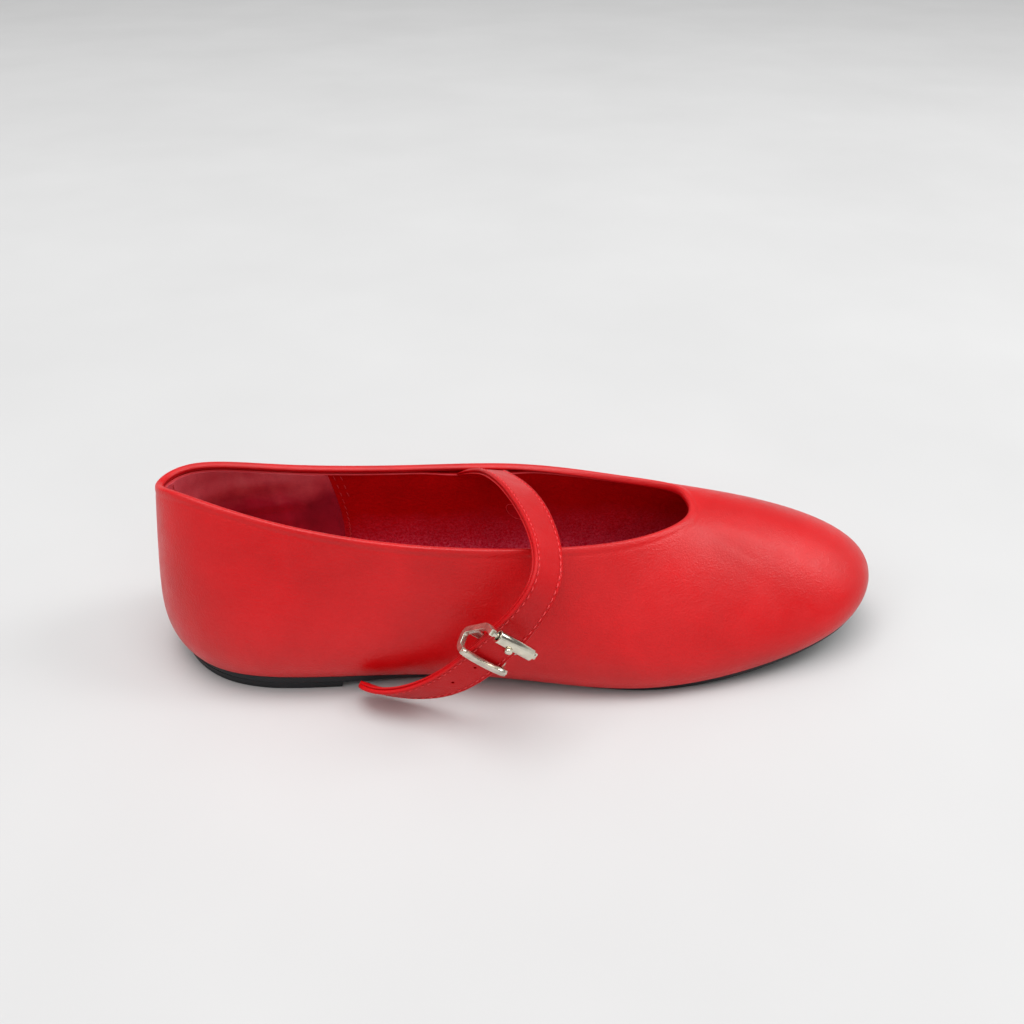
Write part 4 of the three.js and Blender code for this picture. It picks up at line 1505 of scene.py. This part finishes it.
@dataclass
class BuckleStrap:
    """The short strap that holds the buckle: over the collar, under the long strap, round the bar."""

    buckle: Buckle
    width: float = 8.6
    thickness: float = 1.6
    aside: float = -1.0
    run_in: float = 10.0  # how far before the bar it lies straight
    slot: tuple[float, float, float] = (2.5, 8.6, 8.0)
    steps: int = 170
    start: tuple[tuple[float, ...], ...] = (
        (132.2, -24.4, 43, -1, 0.05, 0.1),
        (132.2, -21.3, 49, -1, 0.05, 0.1),
        (132.2, -24.6, 53.8, -1, 0.0, 0.15),
        (132.8, -33.5, 53, -0.95, -0.05, 0.25),
        (131.8, -43, 51, -0.8, -0.15, 0.5),
        (128.6, -48, 44.6, -0.75, -0.2, 0.6),
    )

    def ribbon(self) -> Ribbon:
        """The route from the collar to the centre bar."""
        place = self.buckle.matrix()
        across = place.to_3x3().col[0].normalized()
        y, z = self.buckle.centre_bar
        rows = list(self.start)
        for back in (self.run_in, self.run_in / 2, self.buckle.centre_radius + GAP):
            point = (place @ Vector((self.aside, y - back, z + self.thickness / 2))) / MM
            rows.append((point.x + HEEL_CENTRE, point.y, point.z, *across))
        return Ribbon(rows)

    def strip(self) -> Piece:
        """The strip and its loop round the centre bar, with the prong's slot cut out."""
        ribbon = self.ribbon()
        section = whole_section(layered_section(self.width / 2, self.thickness, 1.0, 1.4))
        shares = np.concatenate([[0.0], np.linspace(0, 1, self.steps - 1), [1.0]])
        full = np.concatenate([[0.0], np.ones(self.steps - 1), [0.0]])

        def place(column: Array, row: Array) -> Array:
            middle = self.thickness / 2
            deep = middle + (section[row, 1] - middle) * full[column]
            return in_frame(ribbon.laid(shares[column], section[row, 0] * full[column], deep))

        strip = laid_grid("buckle_strap_strip", self.steps, len(section) - 1, place)
        bar = self.buckle
        loop = bar.ring("loop", self.width, bar.centre_radius + 0.15, bar.centre_radius + 1.35)
        loop.data.transform(bar.matrix() @ Matrix.Translation((self.aside, 0, 0)))
        combine(strip, loop, Cut.JOIN)
        choose()
        bpy.ops.mesh.primitive_cube_add(size=1.0)
        slot = bpy.context.object
        y, z = bar.centre_bar
        size = Matrix.Diagonal((*self.slot, 1.0))
        slot.data.transform(bar.matrix() @ Matrix.Translation((0, y, z)) @ size)
        combine(strip, slot, Cut.TAKE_AWAY)
        return strip

    def build(self) -> None:
        """Builds and dresses the buckle strap."""
        ready(self.strip(), 50, Slot.STRAP_LEATHER, strap_calf("buckle_strap_calf"), "buckle_strap")


# ---- the studio ----


@dataclass(frozen=True)
class Softbox:
    """An area light: where it stands, what it looks at, its size and its power."""

    name: str
    place: tuple[float, float, float]
    target: tuple[float, float, float]
    size: Pair
    watts: float
    tint: tuple[float, float, float] = (1.0, 1.0, 1.0)

    def hang(self) -> None:
        """Adds the light."""
        light = bpy.data.lights.new(self.name, "AREA")
        light.shape = "RECTANGLE"
        light.size, light.size_y = self.size
        light.energy = self.watts
        light.color = self.tint
        lamp = bpy.data.objects.new(self.name, light)
        bpy.context.collection.objects.link(lamp)
        lamp.location = self.place
        aim = Vector(self.target) - Vector(self.place)
        lamp.rotation_euler = aim.to_track_quat("-Z", "Y").to_euler()


@dataclass
class Studio:
    """The floor, the lights and the camera."""

    camera_place: tuple[float, float, float] = (0.08211, -0.31427, 0.24502)
    yaw: float = 1.797  # degrees, as are the next two
    pitch: float = 32.15
    roll: float = 0.105
    lens: float = 38.19  # millimetres, on a 36 mm sensor
    belt: tuple[Pair, ...] = (  # places up the surround, and the grey there
        (0.0, 0.75), (0.19, 0.7), (0.3, 0.16), (0.54, 0.16), (0.72, 0.8),
    )
    boxes: tuple[Softbox, ...] = (
        Softbox("overhead", (0.0, -0.1, 2.6), (0.09, 0.0, 0.0), (2.4, 1.8), 44.0),
        Softbox("heel_side", (-1.3, -0.9, 1.5), (0.09, 0.0, 0.03), (0.9, 0.9), 6.0),
        Softbox("toe_back", (1.36, 0.1, 1.24), (0.19, 0.0, 0.03), (0.55, 0.8), 7.5),
        Softbox("toe_front", (0.75, -1.5, 0.85), (0.15, 0.0, 0.03), (1.0, 0.8), 1.6),
    )

    def floor(self) -> None:
        """A wide pale floor."""
        choose()
        bpy.ops.mesh.primitive_grid_add(x_subdivisions=8, y_subdivisions=8, size=5.2)
        floor = name_piece(bpy.context.object, "studio_floor")
        recipe = Recipe("pale_floor", Specular_IOR_Level=0.1)
        tone = recipe.ramp(recipe.noise(6, 3), 0.3, 0.7, (0.6, 0.6, 0.6), (0.63, 0.63, 0.63))
        rough = recipe.spread(recipe.noise(40, 3), 0.3, 0.7, 0.85, 0.95)
        floor.data.materials.append(recipe.feed(tone, rough))
        floor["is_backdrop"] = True

    def sky(self) -> None:
        """A pale surround with a greyer belt part of the way up, for metal to show."""
        world = bpy.context.scene.world or bpy.data.worlds.new("studio")
        bpy.context.scene.world = world
        world.use_nodes = True
        tree = world.node_tree
        ground = tree.nodes["Background"]
        where = tree.nodes.new("ShaderNodeTexCoord")
        parts = tree.nodes.new("ShaderNodeSeparateXYZ")
        ramp = tree.nodes.new("ShaderNodeValToRGB")
        tree.links.new(where.outputs["Generated"], parts.inputs["Vector"])
        tree.links.new(parts.outputs["Z"], ramp.inputs["Fac"])
        tree.links.new(ramp.outputs["Color"], ground.inputs["Color"])
        stops = ramp.color_ramp.elements
        stops[0].position, stops[1].position = self.belt[0][0], self.belt[-1][0]
        for place, _ in self.belt[1:-1]:
            stops.new(place)
        for stop, (_, grey) in zip(stops, self.belt):
            stop.color = (grey, grey, grey, 1)
        ground.inputs["Strength"].default_value = 1.0

    def camera(self) -> None:
        """The camera, above the outer side of the shoe."""
        lens = bpy.data.cameras.new("view")
        lens.lens = self.lens
        lens.sensor_width = 36.0
        lens.clip_start = 0.01
        camera = bpy.data.objects.new("view", lens)
        bpy.context.collection.objects.link(camera)
        turn = Matrix.Rotation(-math.radians(self.yaw), 4, "Z")
        tip = Matrix.Rotation(math.pi / 2 - math.radians(self.pitch), 4, "X")
        lean = Matrix.Rotation(-math.radians(self.roll), 4, "Z")
        camera.matrix_world = Matrix.Translation(self.camera_place) @ turn @ tip @ lean
        bpy.context.scene.camera = camera

    def build(self) -> None:
        """Sets the studio up, with colours shown as they are."""
        bpy.context.scene.view_settings.view_transform = "Standard"
        self.floor()
        self.sky()
        for box in self.boxes:
            box.hang()
        self.camera()
        LOG.info("studio ready")


def main() -> None:
    """Builds everything in order and works out both boxes."""
    logging.basicConfig(level=logging.INFO, format="%(message)s")
    last = Last()
    Studio().build()
    upper = Upper(last)
    upper.build()
    Sole(last).build()
    strap = Strap(upper)
    strap.build()
    buckle = Buckle(strap)
    BuckleStrap(buckle).build()
    buckle.build()
    boxes = {"cad": CAD_BOX, "visual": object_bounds()}
    plain = {key: [[float(v) for v in corner] for corner in box] for key, box in boxes.items()}


if __name__ == "__main__":
    main()
